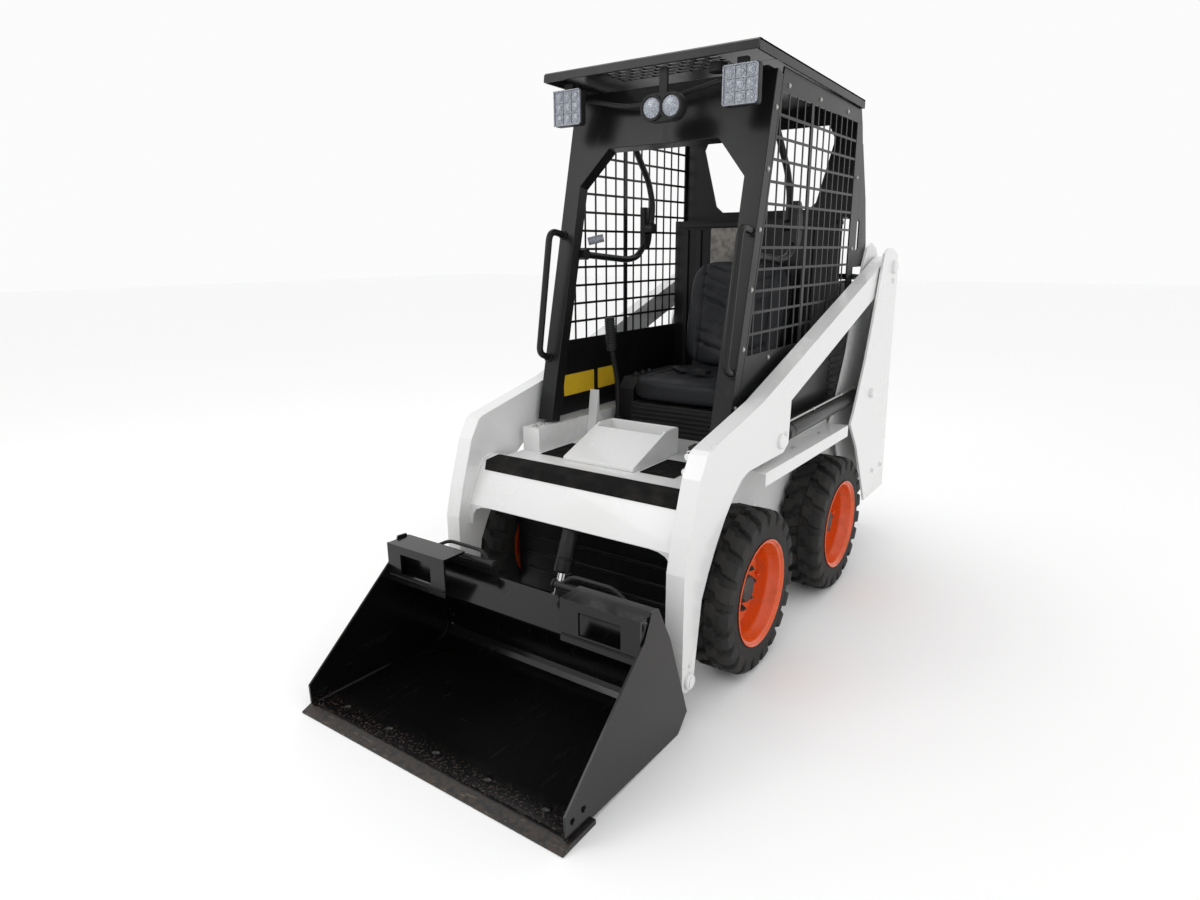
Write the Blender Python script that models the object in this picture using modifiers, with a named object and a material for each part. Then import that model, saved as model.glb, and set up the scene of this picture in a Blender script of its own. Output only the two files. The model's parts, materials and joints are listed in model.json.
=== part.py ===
"""Skid steer loader: white chassis, towers and lift arms, black cab and bucket, orange wheels.

Metres. +X is the machine's left, -Y its front, +Z up. The origin is on the ground, at the middle of the
overall length and width. The loader is parked with its arms down and its bucket flat on the ground.
"""

import math

import bmesh
import bpy
from mathutils import Matrix, Vector

# ---------------------------------------------------------------- driving dimensions
LENGTH = 2.454  # cutting edge to rear door
WHEELBASE = 0.722
FRONT_AXLE_Y = -0.274
TYRE_RADIUS = 0.254
TYRE_WIDTH = 0.150
WHEEL_INNER_X = 0.348  # inner sidewall of a tyre
RIM_RADIUS = 0.166
CAB_HALF_WIDTH = 0.362
CAB_HEIGHT = 1.814  # top of the roof's front lip
ARM_INNER_X = 0.384
ARM_WIDTH = 0.056
BUCKET_HALF_WIDTH = 0.457

FRONT = -LENGTH / 2
REAR = LENGTH / 2
GAP = 0.0003  # between pieces that touch
PLAY = 0.0005  # a pin in its bore

# ---------------------------------------------------------------- pins (y, z)
LIFT_PIVOT = (1.040, 1.185)
LIFT_CYLINDER_REAR_PIN = (0.860, 0.688)
LIFT_CYLINDER_FRONT_PIN = (-0.053, 0.673)
BUCKET_PIVOT = (-0.630, 0.115)
TILT_CYLINDER_TOP_PIN = (-0.515, 0.570)
TILT_CYLINDER_LOW_PIN = (-0.660, 0.220)
SEAT_BAR_PIVOT = (0.320, 1.340)

# ---------------------------------------------------------------- chassis
CHASSIS_HALF_WIDTH = 0.335
CHAINCASE_WIDTH = 0.080
CHASSIS_BOTTOM = 0.130
CHASSIS_FRONT = -0.420
CHASSIS_REAR = 1.165
RAIL_INNER_X = 0.285
RAIL_OUTER_X = 0.355
RAIL_TOP = 0.680
RAIL_BOTTOM = 0.560
RAIL_FRONT = -0.370
RAIL_REAR = 0.800
FLOOR_TOP = 0.600
FLOOR_THICKNESS = 0.015
FLOOR_FRONT = -0.465
PLATE = 0.010
AXLE_RADIUS = 0.034
STUB_RADIUS = 0.020

# ---------------------------------------------------------------- towers and fenders
TOWER_OUTER_X = 0.455
TOWER_OUTER_PLATE = 0.009
TOWER_INNER_X = 0.3665
TOWER_INNER_PLATE = 0.0095
TOWER_FRONT_EDGE = [  # (y, z), upwards
    (0.893, 0.218), (0.728, 0.484), (0.622, 0.600), (0.6525, 0.640), (0.758, 0.8417), (0.854, 1.097)
]
TOWER_REAR_EDGE = [(1.1107, 1.1375), (1.1204, 0.8177), (1.166, 0.220)]  # (y, z), downwards

DOOR_FRONT = 1.177
DOOR_HALF_WIDTH = 0.360
DOOR_BOTTOM = 0.290
DOOR_TOP = 1.120
DOOR_HINGE_INSET = 0.008  # from the door's front face to its hinge pins, so that its corner clears the tower
LEVER_CLEARANCE = 0.006  # from the end of a latch lever to the arm beside it
PIVOT_PIN_RADIUS = 0.020
CYLINDER_PIN_RADIUS = 0.013
FENDER_TOP = 0.600
FENDER_LIP_BOTTOM = 0.555
FENDER_FRONT = -0.178
FENDER_REAR = 0.612
FENDER_OUTER_X = 0.450
FENDER_PLATE = 0.008

# ---------------------------------------------------------------- cab
CAB_WALL = 0.006
POST_WIDTH = 0.062
POST_DEPTH = 0.045
POST_FOOT = (-0.280, 0.691)  # front face of the post at its foot (y, z)
POST_LEAN = math.radians(13.1)
ROOF_THICKNESS = 0.030
ROOF_FRONT = -0.195
ROOF_REAR = 0.767
ROOF_FALL = 0.024
ROOF_HALF_WIDTH = 0.372
HEADER_BOTTOM = 1.585
BACK_WALL_LOW_Y = 0.660
BACK_WALL_HIGH_Y = 0.790
BACK_LEDGE_Z = 1.370
SCREEN_BOTTOM = 0.948
SEAT_TOP = 0.714
SEAT_BAR_X = 0.304  # middle of a side rail
SEAT_BAR_ARM_X = 0.275
SEAT_BAR_REACH = (0.145, 1.677)  # raised cross bar

# ---------------------------------------------------------------- cylinders
LIFT_BARREL_RADIUS = 0.0265
LIFT_BARREL_LENGTH = 0.820
LIFT_ROD_RADIUS = 0.0125
LIFT_ROD_LENGTH = 0.720
TILT_BARREL_RADIUS = 0.029
TILT_BARREL_LENGTH = 0.270
TILT_ROD_RADIUS = 0.0135
TILT_ROD_LENGTH = 0.298
EYE_WIDTH = 0.022
EYE_RADIUS = 0.023

# ---------------------------------------------------------------- bucket and coupler
BUCKET_PLATE = 0.006
BLADE_HALF_WIDTH = 0.467
BLADE_THICKNESS = 0.016
BLADE_DEPTH = 0.123
BUCKET_HEEL_Y = -0.711
BACK_FOOT = (-0.663, 0.046)
BACK_HEAD = (-0.788, 0.345)
LIP_EDGE = (-0.895, 0.305)
SIDE_TOP_FRONT = (-0.853, 0.418)
SIDE_TOP_REAR = (-0.822, 0.416)
FRAME_PLATE_Y = -0.895
FRAME_PLATE_TOP = 0.410
FRAME_PLATE_BOTTOM = 0.290
FRAME_PLATE_INNER_X = 0.210

FRONT_AXLE = (FRONT_AXLE_Y, TYRE_RADIUS)
REAR_AXLE = (FRONT_AXLE_Y + WHEELBASE, TYRE_RADIUS)
ARM_MIDDLE_X = ARM_INNER_X + ARM_WIDTH / 2
ROUND = 16  # sides of a small cylinder


# ---------------------------------------------------------------- scene and materials
for old in list(bpy.data.objects):
    bpy.data.objects.remove(old, do_unlink=True)

PARTS = bpy.data.collections.new("skid_steer_loader")
CUTTERS = bpy.data.collections.new("cutters")
for collection in (PARTS, CUTTERS):
    bpy.context.scene.collection.children.link(collection)
CUTTERS.hide_render = True

FINISHES = {  # name: (colour, roughness, metallic)
    "white_paint": ((0.83, 0.83, 0.81), 0.30, 0.0),
    "black_paint": ((0.018, 0.018, 0.019), 0.38, 0.0),
    "bucket_black": ((0.010, 0.010, 0.010), 0.25, 0.0),
    "orange_paint": ((0.83, 0.11, 0.012), 0.35, 0.0),
    "tyre_rubber": ((0.030, 0.030, 0.028), 0.80, 0.0),
    "black_vinyl": ((0.015, 0.015, 0.017), 0.50, 0.0),
    "black_plastic": ((0.020, 0.020, 0.021), 0.55, 0.0),
    "chrome": ((0.75, 0.75, 0.76), 0.12, 1.0),
    "worn_steel": ((0.12, 0.11, 0.10), 0.45, 0.6),
    "lamp_grey": ((0.45, 0.46, 0.48), 0.30, 0.2),
    "cast_iron": ((0.08, 0.08, 0.08), 0.60, 0.3),
}


def finish(name):
    """The named Principled material, made once."""
    material = bpy.data.materials.get(name)
    if material is None:
        colour, roughness, metallic = FINISHES[name]
        material = bpy.data.materials.new(name)
        material.use_nodes = True
        shader = material.node_tree.nodes["Principled BSDF"]
        shader.inputs["Base Color"].default_value = (*colour, 1.0)
        shader.inputs["Roughness"].default_value = roughness
        shader.inputs["Metallic"].default_value = metallic
    return material


def empty(name, at):
    """An empty on a joint's axis, which carries the pieces that turn or slide together."""
    carrier = bpy.data.objects.new(name, None)
    carrier.location = at
    carrier.empty_display_size = 0.05
    PARTS.objects.link(carrier)
    return carrier


def hold(piece, carrier):
    """Parents a piece to an unturned empty and leaves it where it is."""
    piece.parent = carrier
    piece.matrix_parent_inverse = Matrix.Translation(carrier.location).inverted()


def node(piece, name, look, carrier=None):
    """Turns a shape into a named piece of the machine."""
    piece.name = name
    piece.data.name = name
    piece.data.materials.clear()
    piece.data.materials.append(finish(look))
    for collection in list(piece.users_collection):
        collection.objects.unlink(piece)
    PARTS.objects.link(piece)
    piece.hide_render = False
    piece.display_type = "TEXTURED"
    if carrier:
        hold(piece, carrier)
    return piece


# ---------------------------------------------------------------- shapes
def shape(data, place=None):
    made = bpy.data.objects.new("shape", data)
    if place is not None:
        made.matrix_world = place
    CUTTERS.objects.link(made)
    made.hide_render = True
    made.display_type = "WIRE"
    return made


def box(low, high):
    """A box from its low corner to its high corner."""
    mesh = bpy.data.meshes.new("box")
    work = bmesh.new()
    bmesh.ops.create_cube(work, size=1.0)
    size = [b - a for a, b in zip(low, high)]
    bmesh.ops.scale(work, vec=size, verts=work.verts)
    work.to_mesh(mesh)
    work.free()
    middle = [(a + b) / 2 for a, b in zip(low, high)]
    return shape(mesh, Matrix.Translation(middle))


def cylinder(start, end, radius, sides=ROUND, end_radius=None):
    """A cylinder or cone between two points."""
    start, end = Vector(start), Vector(end)
    mesh = bpy.data.meshes.new("cylinder")
    work = bmesh.new()
    bmesh.ops.create_cone(
        work,
        cap_ends=True,
        segments=sides,
        radius1=radius,
        radius2=radius if end_radius is None else end_radius,
        depth=(end - start).length,
    )
    work.to_mesh(mesh)
    work.free()
    turn = (end - start).to_track_quat("Z", "Y").to_matrix().to_4x4()
    return shape(mesh, Matrix.Translation((start + end) / 2) @ turn)


def solid_of(curve_object):
    """A curve object made a mesh, with its caps welded."""
    graph = bpy.context.evaluated_depsgraph_get()
    mesh = bpy.data.meshes.new_from_object(curve_object.evaluated_get(graph))
    work = bmesh.new()
    work.from_mesh(mesh)
    bmesh.ops.remove_doubles(work, verts=work.verts, dist=0.000001)
    bmesh.ops.recalc_face_normals(work, faces=work.faces)
    work.to_mesh(mesh)
    work.free()
    made = shape(mesh, curve_object.matrix_world.copy())
    bpy.data.objects.remove(curve_object)
    return made


PLANES = {  # where a flat outline's own X, Y and thickness point
    "YZ": Matrix(((0, 0, 1), (1, 0, 0), (0, 1, 0))).to_4x4(),
    "XZ": Matrix(((1, 0, 0), (0, 0, -1), (0, 1, 0))).to_4x4(),
    "XY": Matrix.Identity(4),
}
NORMALS = {"YZ": Vector((1, 0, 0)), "XZ": Vector((0, 1, 0)), "XY": Vector((0, 0, 1))}


def flat(outline, plane, low, high, holes=()):
    """A flat outline in a plane, thick from low to high across it, with holes."""
    curve = bpy.data.curves.new("flat", "CURVE")
    curve.dimensions = "2D"
    curve.fill_mode = "BOTH"
    curve.extrude = abs(high - low) / 2
    for loop in (outline, *holes):
        spline = curve.splines.new("POLY")
        spline.points.add(len(loop) - 1)
        for point, (a, b) in zip(spline.points, loop):
            point.co = (a, b, 0, 1)
        spline.use_cyclic_u = True
    made = shape(curve, Matrix.Translation(NORMALS[plane] * (low + high) / 2) @ PLANES[plane])
    bpy.context.view_layer.update()
    return solid_of(made)


def tube(points, radius, bevel_resolution=2):
    """A round bar along straight stretches, as a curve object with filled caps."""
    curve = bpy.data.curves.new("tube", "CURVE")
    curve.dimensions = "3D"
    curve.bevel_depth = radius
    curve.bevel_resolution = bevel_resolution
    curve.use_fill_caps = True
    spline = curve.splines.new("POLY")
    spline.points.add(len(points) - 1)
    for point, place in zip(spline.points, points):
        point.co = (*place, 1)
    made = shape(curve)
    bpy.context.view_layer.update()
    return made


def turned(profile, place, steps=24):
    """A closed (radius, height) profile turned about its own Z axis."""
    mesh = bpy.data.meshes.new("turned")
    mesh.from_pydata(
        [(radius, 0, height) for radius, height in profile],
        [(i, (i + 1) % len(profile)) for i in range(len(profile))],
        [],
    )
    made = shape(mesh, place)
    screw = made.modifiers.new("turn", "SCREW")
    screw.steps = steps
    screw.render_steps = steps
    screw.use_merge_vertices = True
    screw.merge_threshold = 0.00001
    return made


def boolean(piece, other, operation):
    step = piece.modifiers.new(operation.lower(), "BOOLEAN")
    step.operation = operation
    step.object = other
    step.solver = "EXACT"
    return piece


def cut(piece, *cutters):
    for cutter in cutters:
        boolean(piece, cutter, "DIFFERENCE")
    return piece


def fuse(piece, *others):
    for other in others:
        boolean(piece, other, "UNION")
    return piece


def arc(centre, radius, start, end, steps=8):
    """Points on a circle from one angle to another, in degrees."""
    turns = [math.radians(start + (end - start) * i / steps) for i in range(steps + 1)]
    return [(centre[0] + radius * math.cos(t), centre[1] + radius * math.sin(t)) for t in turns]


def bend(start, pull_start, pull_end, end, steps=8):
    """Points on a cubic curve between two points, shaped by two pulls."""
    points = []
    for i in range(steps + 1):
        t = i / steps
        weights = ((1 - t) ** 3, 3 * t * (1 - t) ** 2, 3 * t * t * (1 - t), t**3)
        four = (start, pull_start, pull_end, end)
        points.append(tuple(sum(w * p[k] for w, p in zip(weights, four)) for k in (0, 1)))
    return points


def rectangle(low_a, low_b, high_a, high_b):
    return [(low_a, low_b), (high_a, low_b), (high_a, high_b), (low_a, high_b)]


def sheet(points, thickness):
    """The outline of a bent sheet: the points, and the same points moved to their left by the thickness."""
    offset = []
    for i, point in enumerate(points):
        before = Vector(points[max(i - 1, 0)])
        after = Vector(points[min(i + 1, len(points) - 1)])
        here = Vector(point)
        first = (here - before).normalized() if i else (after - here).normalized()
        second = (after - here).normalized() if i < len(points) - 1 else first
        left = Vector((-first.y - second.y, first.x + second.x)).normalized()
        stretch = thickness / max(left.dot(Vector((-first.y, first.x))), 0.3)
        offset.append(tuple(here + left * stretch))
    return list(points) + offset[::-1]


def along(start, end, distance):
    """The (y, z) point at a distance from start towards end."""
    start, end = Vector(start), Vector(end)
    return tuple(start + (end - start).normalized() * distance)


def at_x(point, x):
    return (x, point[0], point[1])


# ---------------------------------------------------------------- chassis
def main_frame():
    """Floor pan between two chaincases, front plate, cab rails, tower blocks and rear bumper."""
    inner = CHASSIS_HALF_WIDTH - CHAINCASE_WIDTH
    section = [
        (-CHASSIS_HALF_WIDTH, CHASSIS_BOTTOM),
        (CHASSIS_HALF_WIDTH, CHASSIS_BOTTOM),
        (CHASSIS_HALF_WIDTH, RAIL_BOTTOM),
        (RAIL_OUTER_X, RAIL_BOTTOM),
        (RAIL_OUTER_X, RAIL_TOP),
        (RAIL_INNER_X, RAIL_TOP),
        (RAIL_INNER_X, RAIL_BOTTOM - 0.02),
        (inner, RAIL_BOTTOM - 0.02),
        (inner, CHASSIS_BOTTOM + PLATE),
        (-inner, CHASSIS_BOTTOM + PLATE),
        (-inner, RAIL_BOTTOM - 0.02),
        (-RAIL_INNER_X, RAIL_BOTTOM - 0.02),
        (-RAIL_INNER_X, RAIL_TOP),
        (-RAIL_OUTER_X, RAIL_TOP),
        (-RAIL_OUTER_X, RAIL_BOTTOM),
        (-CHASSIS_HALF_WIDTH, RAIL_BOTTOM),
    ]
    frame = flat(section, "XZ", CHASSIS_FRONT, CHASSIS_REAR)
    wide = RAIL_OUTER_X + 0.05
    cut(
        frame,
        box((-wide, CHASSIS_FRONT - 0.1, RAIL_BOTTOM), (wide, RAIL_FRONT, RAIL_TOP + 0.1)),
        box((-wide, RAIL_REAR, RAIL_BOTTOM - 0.06), (wide, CHASSIS_REAR + 0.1, RAIL_TOP + 0.1)),
    )
    front_plate = box(
        (-CHASSIS_HALF_WIDTH, CHASSIS_FRONT - PLATE, 0.30),
        (CHASSIS_HALF_WIDTH, CHASSIS_FRONT + 0.001, FLOOR_TOP - FLOOR_THICKNESS - GAP),
    )
    fuse(frame, front_plate)
    for side in (-1, 1):
        edges = sorted((side * (CHASSIS_HALF_WIDTH - 0.01), side * (TOWER_INNER_X - GAP)))
        fuse(frame, box((edges[0], 0.82, 0.26), (edges[1], 1.10, 0.48)))
    bumper = box((-CHASSIS_HALF_WIDTH, CHASSIS_REAR - 0.05, 0.16), (CHASSIS_HALF_WIDTH, CHASSIS_REAR, 0.27))
    fuse(frame, bumper)
    for axle in (FRONT_AXLE, REAR_AXLE):
        cut(frame, cylinder(at_x(axle, -1), at_x(axle, 1), AXLE_RADIUS + GAP))
    return node(frame, "main_frame", "white_paint")


def axle(name, place):
    """A housing through both chaincases, with a stub at each end for the hubs."""
    end = WHEEL_INNER_X + 0.012
    stub_end = WHEEL_INNER_X + 0.075
    housing = cylinder(at_x(place, -end), at_x(place, end), AXLE_RADIUS)
    fuse(housing, cylinder(at_x(place, -stub_end), at_x(place, stub_end), STUB_RADIUS))
    return node(housing, name, "cast_iron")


def floor():
    """Cab floor: wide in front of the rails, then between them."""
    narrow = RAIL_INNER_X - GAP
    wide = RAIL_OUTER_X
    step = RAIL_FRONT - GAP
    rear = BACK_WALL_LOW_Y - 0.004
    outline = [
        (-wide, FLOOR_FRONT),
        (wide, FLOOR_FRONT),
        (wide, step),
        (narrow, step),
        (narrow, rear),
        (-narrow, rear),
        (-narrow, step),
        (-wide, step),
    ]
    plate = flat(outline, "XY", FLOOR_TOP - FLOOR_THICKNESS, FLOOR_TOP)
    return node(plate, "cab_floor", "white_paint")


def foot_tray():
    """Raised white tray between the operator's feet, its front sloping down to the floor."""
    low = FLOOR_TOP + GAP
    outline = [(-0.400, low), (-0.120, low), (-0.120, 0.690), (-0.200, 0.690), (-0.400, low + 0.012)]
    tray = flat(outline, "YZ", -0.160, 0.110)
    hollow = [(-0.235, low + 0.025), (-0.130, low + 0.025), (-0.130, 0.72), (-0.21, 0.72)]
    pocket = flat(hollow, "YZ", -0.150, 0.100)
    return node(cut(tray, pocket), "foot_tray", "white_paint")


def upright_bracket():
    """Upright white bracket with a foot, on the right of the floor."""
    foot = FLOOR_TOP + GAP
    outline = [(-0.100, foot), (-0.040, foot), (-0.040, foot + 0.06), (-0.068, foot + 0.09)]
    outline += [(-0.068, 0.773), (-0.076, 0.773), (-0.100, foot + 0.02)]
    return node(flat(outline, "YZ", -0.284, -0.248), "upright_bracket", "white_paint")


def fender(name, side):
    """Bent beam over the wheels: a flat top and a turned-down outer lip."""
    outline = [
        (RAIL_OUTER_X + GAP, FENDER_TOP - FENDER_PLATE),
        (FENDER_OUTER_X - FENDER_PLATE, FENDER_TOP - FENDER_PLATE),
        (FENDER_OUTER_X - FENDER_PLATE, FENDER_LIP_BOTTOM),
        (FENDER_OUTER_X, FENDER_LIP_BOTTOM),
        (FENDER_OUTER_X, FENDER_TOP),
        (RAIL_OUTER_X + GAP, FENDER_TOP),
    ]
    outline = [(side * x, z) for x, z in outline]
    return node(flat(outline, "XZ", FENDER_FRONT, FENDER_REAR), name, "white_paint")


def tower(name, side):
    """Rear upright: an outer and an inner plate, joined behind, that hold the arm and cylinder pins."""
    outer_top = [(0.897, 1.240), (0.945, 1.260), (1.000, 1.262), (1.090, 1.238)]
    inner_top = [(0.890, 1.200), (0.925, 1.262), (0.985, 1.283), (1.050, 1.262), (1.095, 1.205)]
    outer_low = TOWER_OUTER_X - TOWER_OUTER_PLATE
    inner_high = TOWER_INNER_X + TOWER_INNER_PLATE
    outer_edge = TOWER_FRONT_EDGE + outer_top + TOWER_REAR_EDGE
    outer = flat(outer_edge, "YZ", side * outer_low, side * TOWER_OUTER_X)
    inner_edge = TOWER_FRONT_EDGE + inner_top + TOWER_REAR_EDGE
    inner = flat(inner_edge, "YZ", side * TOWER_INNER_X, side * inner_high)
    back_edge = sheet([(1.160, 0.25), (1.1204, 0.8177), (1.113, 1.10)], 0.009)
    back = flat(back_edge, "YZ", side * (inner_high - 0.001), side * (outer_low + 0.001))
    fuse(outer, back, inner)
    head = TOWER_OUTER_X + 0.012
    for place, radius in ((LIFT_PIVOT, PIVOT_PIN_RADIUS), (LIFT_CYLINDER_REAR_PIN, CYLINDER_PIN_RADIUS)):
        fuse(outer, cylinder(at_x(place, side * (TOWER_INNER_X + 0.001)), at_x(place, side * head), radius))
    if side < 0:
        for z in (0.56, 0.98):
            fuse(outer, box((-inner_high + 0.001, 1.09, z - 0.02), (-0.330, DOOR_FRONT - GAP, z + 0.02)))
    return node(outer, name, "white_paint")


def rear_door(carrier):
    """Rear door with a shallow inside recess."""
    door = box((-DOOR_HALF_WIDTH, DOOR_FRONT, DOOR_BOTTOM), (DOOR_HALF_WIDTH, REAR, DOOR_TOP))
    rim = 0.04
    recess = box(
        (-DOOR_HALF_WIDTH + rim, DOOR_FRONT - 0.01, DOOR_BOTTOM + rim),
        (DOOR_HALF_WIDTH - rim, REAR - 0.008, DOOR_TOP - rim),
    )
    return node(cut(door, recess), "rear_door", "white_paint", carrier)


def engine_cover():
    """Cover behind the cab, between the towers, with a row of air slots."""
    half = TOWER_INNER_X - GAP
    cover = flat([(0.800, 1.150), (1.165, 1.128), (1.165, 1.143), (0.800, 1.165)], "YZ", -half, half)
    for i in range(5):
        y = 0.862 + 0.055 * i
        cut(cover, box((-0.26, y, 1.05), (0.26, y + 0.025, 1.25)))
    return node(cover, "engine_cover", "black_paint")


def engine_block():
    block = box((-0.215, 0.700, CHASSIS_BOTTOM + PLATE + GAP), (0.215, 1.080, 0.760))
    return node(block, "engine_block", "cast_iron")


# ---------------------------------------------------------------- cab
def post_y(z):
    """Where the front face of the leaning front frame is at a height."""
    return POST_FOOT[0] + (z - POST_FOOT[1]) * math.tan(POST_LEAN)


def roof_bottom(y):
    return CAB_HEIGHT - ROOF_THICKNESS - ROOF_FALL * (y - ROOF_FRONT) / (ROOF_REAR - ROOF_FRONT)


def cab_roof():
    """Roof plate that falls a little to the rear, with slots over the operator."""
    low, high = roof_bottom(ROOF_FRONT), roof_bottom(ROOF_REAR)
    outline = [
        (ROOF_FRONT, low),
        (ROOF_REAR, high),
        (ROOF_REAR, high + ROOF_THICKNESS),
        (ROOF_FRONT + 0.02, low + ROOF_THICKNESS),
        (ROOF_FRONT, low + ROOF_THICKNESS - 0.012),
    ]
    roof = flat(outline, "YZ", -ROOF_HALF_WIDTH, ROOF_HALF_WIDTH)
    for row in range(2):
        for column in range(4):
            x, y = -0.235 + 0.122 * column, 0.06 + 0.16 * row
            cut(roof, box((x, y, 1.6), (x + 0.104, y + 0.13, 1.9)))
    return node(roof, "cab_roof", "black_paint")


def front_frame():
    """Leaning front frame: two posts and a header with corner gussets."""
    rise = math.cos(POST_LEAN)
    top = (roof_bottom(post_y(1.77)) - 0.014 - POST_FOOT[1]) / rise
    header = (HEADER_BOTTOM - POST_FOOT[1]) / rise
    gusset = (1.470 - POST_FOOT[1]) / rise
    outer = CAB_HALF_WIDTH
    inner = outer - POST_WIDTH
    outline = [(-outer, 0), (-inner, 0), (-inner, gusset), (-inner + 0.10, header), (inner - 0.10, header)]
    outline += [(inner, gusset), (inner, 0), (outer, 0), (outer, top), (-outer, top)]
    frame = flat(outline, "XZ", 0, POST_DEPTH)
    foot = Matrix.Translation(at_x(POST_FOOT, 0))
    lean = Matrix.Rotation(-POST_LEAN, 4, "X")
    frame.matrix_world = foot @ lean @ frame.matrix_world
    return node(frame, "cab_front_frame", "black_paint")


def cab_side(name, side):
    """Side panel: screen openings above, solid panel below, slotted ear behind the back wall."""
    foot = RAIL_TOP + GAP
    behind = POST_DEPTH / math.cos(POST_LEAN) + GAP
    top = roof_bottom(post_y(CAB_HEIGHT) + behind) - GAP
    rear_low = 1.190
    outline = [
        (post_y(foot) + behind, foot),
        (0.780, foot),
        (0.800, rear_low),
        (0.930, rear_low),
        (0.947, 1.275),
        (0.897, 1.449),
        (ROOF_REAR, roof_bottom(ROOF_REAR) - GAP),
        (post_y(top) + behind, top),
    ]
    holes = [
        arc((0.827, 1.340), 0.019, 0, 180, 4) + arc((0.827, 1.280), 0.019, 180, 360, 4),
    ]
    rows, pitch, bar = 6, 0.128, 0.014
    for row in range(rows):
        low = SCREEN_BOTTOM + row * pitch
        high = low + pitch - bar
        front = post_y(high) + behind + 0.045
        divider = 0.270 + 0.02 * row / rows
        rear = 0.731
        for start, end, columns in ((front, divider - 0.02, 3), (divider + 0.01, rear, 4)):
            step = (end - start + bar) / columns
            for column in range(columns):
                left = start + column * step
                holes.append(rectangle(left, low, left + step - bar, high))
    low, high = side * (CAB_HALF_WIDTH - CAB_WALL), side * CAB_HALF_WIDTH
    return node(flat(outline, "YZ", low, high, holes), name, "black_paint")


def back_wall():
    """Back wall: low part behind the seat, a ledge, and the upper part with the rear window."""
    half = CAB_HALF_WIDTH - CAB_WALL - GAP
    line = [
        (BACK_WALL_LOW_Y, RAIL_TOP + GAP),
        (BACK_WALL_LOW_Y, BACK_LEDGE_Z),
        (BACK_WALL_HIGH_Y - CAB_WALL - 0.03, BACK_LEDGE_Z),
        (BACK_WALL_HIGH_Y - CAB_WALL - 0.03, roof_bottom(ROOF_REAR) - GAP),
    ]
    wall = flat(sheet(line, CAB_WALL), "YZ", -half, half)
    window = [(-0.215, 1.435), (-0.185, 1.410), (0.185, 1.410), (0.215, 1.435), (0.275, 1.660)]
    window += [(0.250, 1.712), (-0.250, 1.712), (-0.275, 1.660)]
    return node(cut(wall, flat(window, "XZ", 0.5, 1.0)), "cab_back_wall", "black_paint")


def shell_front(z):
    """Where the front face of the seat shell's back is at a height."""
    return 0.508 + (z - SEAT_TOP) * 0.2085


def seat():
    """Seat shell on the floor, with a cushion and a back pad."""
    foot = FLOOR_TOP + GAP
    shell = [(0.060, foot), (0.530, foot), (0.5335, 0.700), (0.628, 1.180), (shell_front(1.186), 1.186)]
    shell += [(shell_front(SEAT_TOP), SEAT_TOP), (0.060, SEAT_TOP)]
    node(flat(shell, "YZ", -0.195, 0.195), "seat_base", "black_plastic")
    under = SEAT_TOP + GAP
    cushion = [(0.050, 0.730), (0.070, under), (0.500, under), (0.508, 0.785), (0.485, 0.812)]
    cushion += [(0.100, 0.815), (0.055, 0.790)]
    node(flat(cushion, "YZ", -0.215, 0.215), "seat_cushion", "black_vinyl")
    pad = [(shell_front(z) - GAP, z) for z in (0.800, 1.195)]
    pad += [(0.590, 1.225), (0.565, 1.228), (0.530, 1.205), (0.455, 0.835), (0.475, 0.820)]
    node(flat(pad, "YZ", -0.205, 0.205), "seat_back", "black_vinyl")


def console(name, side):
    """Box beside the seat."""
    edges = sorted((side * 0.2165, side * (RAIL_INNER_X - GAP)))
    foot = FLOOR_TOP + GAP
    outline = [(0.110, foot), (0.500, foot), (0.500, 0.790), (0.150, 0.790), (0.110, 0.750)]
    return node(flat(outline, "YZ", edges[0], edges[1]), name, "black_plastic")


def steering_lever(name, side):
    """Bent lever with a thick grip and a boot at its foot."""
    x = side * 0.250
    foot = FLOOR_TOP + GAP
    boot = cylinder((x, 0.055, foot), (x, 0.055, foot + 0.04), 0.026, 16, 0.014)
    route = [(x, 0.055, foot + 0.02), (x, 0.050, 0.80), (x, 0.015, 0.90), (x, 0.010, 0.925)]
    stem = solid_of(tube(route, 0.010))
    grip = cylinder((x, 0.012, 0.915), (x, 0.000, 1.030), 0.018, 16)
    return node(fuse(boot, stem, grip), name, "black_plastic")


def seat_bar_rail(name, side):
    """Side rail from a clamp on the front post to the seat bar's pivot plate."""
    x = side * SEAT_BAR_X
    pivot_y, pivot_z = SEAT_BAR_PIVOT
    clamp_radius, clamp_z = 0.019, 1.247
    clamp_y = post_y(clamp_z) + (POST_DEPTH + clamp_radius + GAP) / math.cos(POST_LEAN)
    route = [(x, clamp_y, clamp_z), (x, 0.20, 1.225), (x, 0.27, 1.235), (x, pivot_y - 0.005, 1.275)]
    rail = tube(route, 0.012)
    rail = solid_of(rail)
    clamp = cylinder((x - 0.020, clamp_y, clamp_z), (x + 0.020, clamp_y, clamp_z), clamp_radius)
    plate = [(pivot_y - 0.014, pivot_z - 0.078), (pivot_y + 0.010, pivot_z - 0.078)]
    plate += [(pivot_y + 0.032, pivot_z - 0.050), (pivot_y + 0.040, pivot_z)]
    plate += [(pivot_y + 0.032, pivot_z + 0.050)]
    plate += [(pivot_y + 0.010, pivot_z + 0.078), (pivot_y - 0.014, pivot_z + 0.078)]
    plate = flat(plate, "YZ", side * (SEAT_BAR_X - 0.011), side * (SEAT_BAR_X + 0.011))
    return node(fuse(rail, clamp, plate), name, "black_paint")


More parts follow.
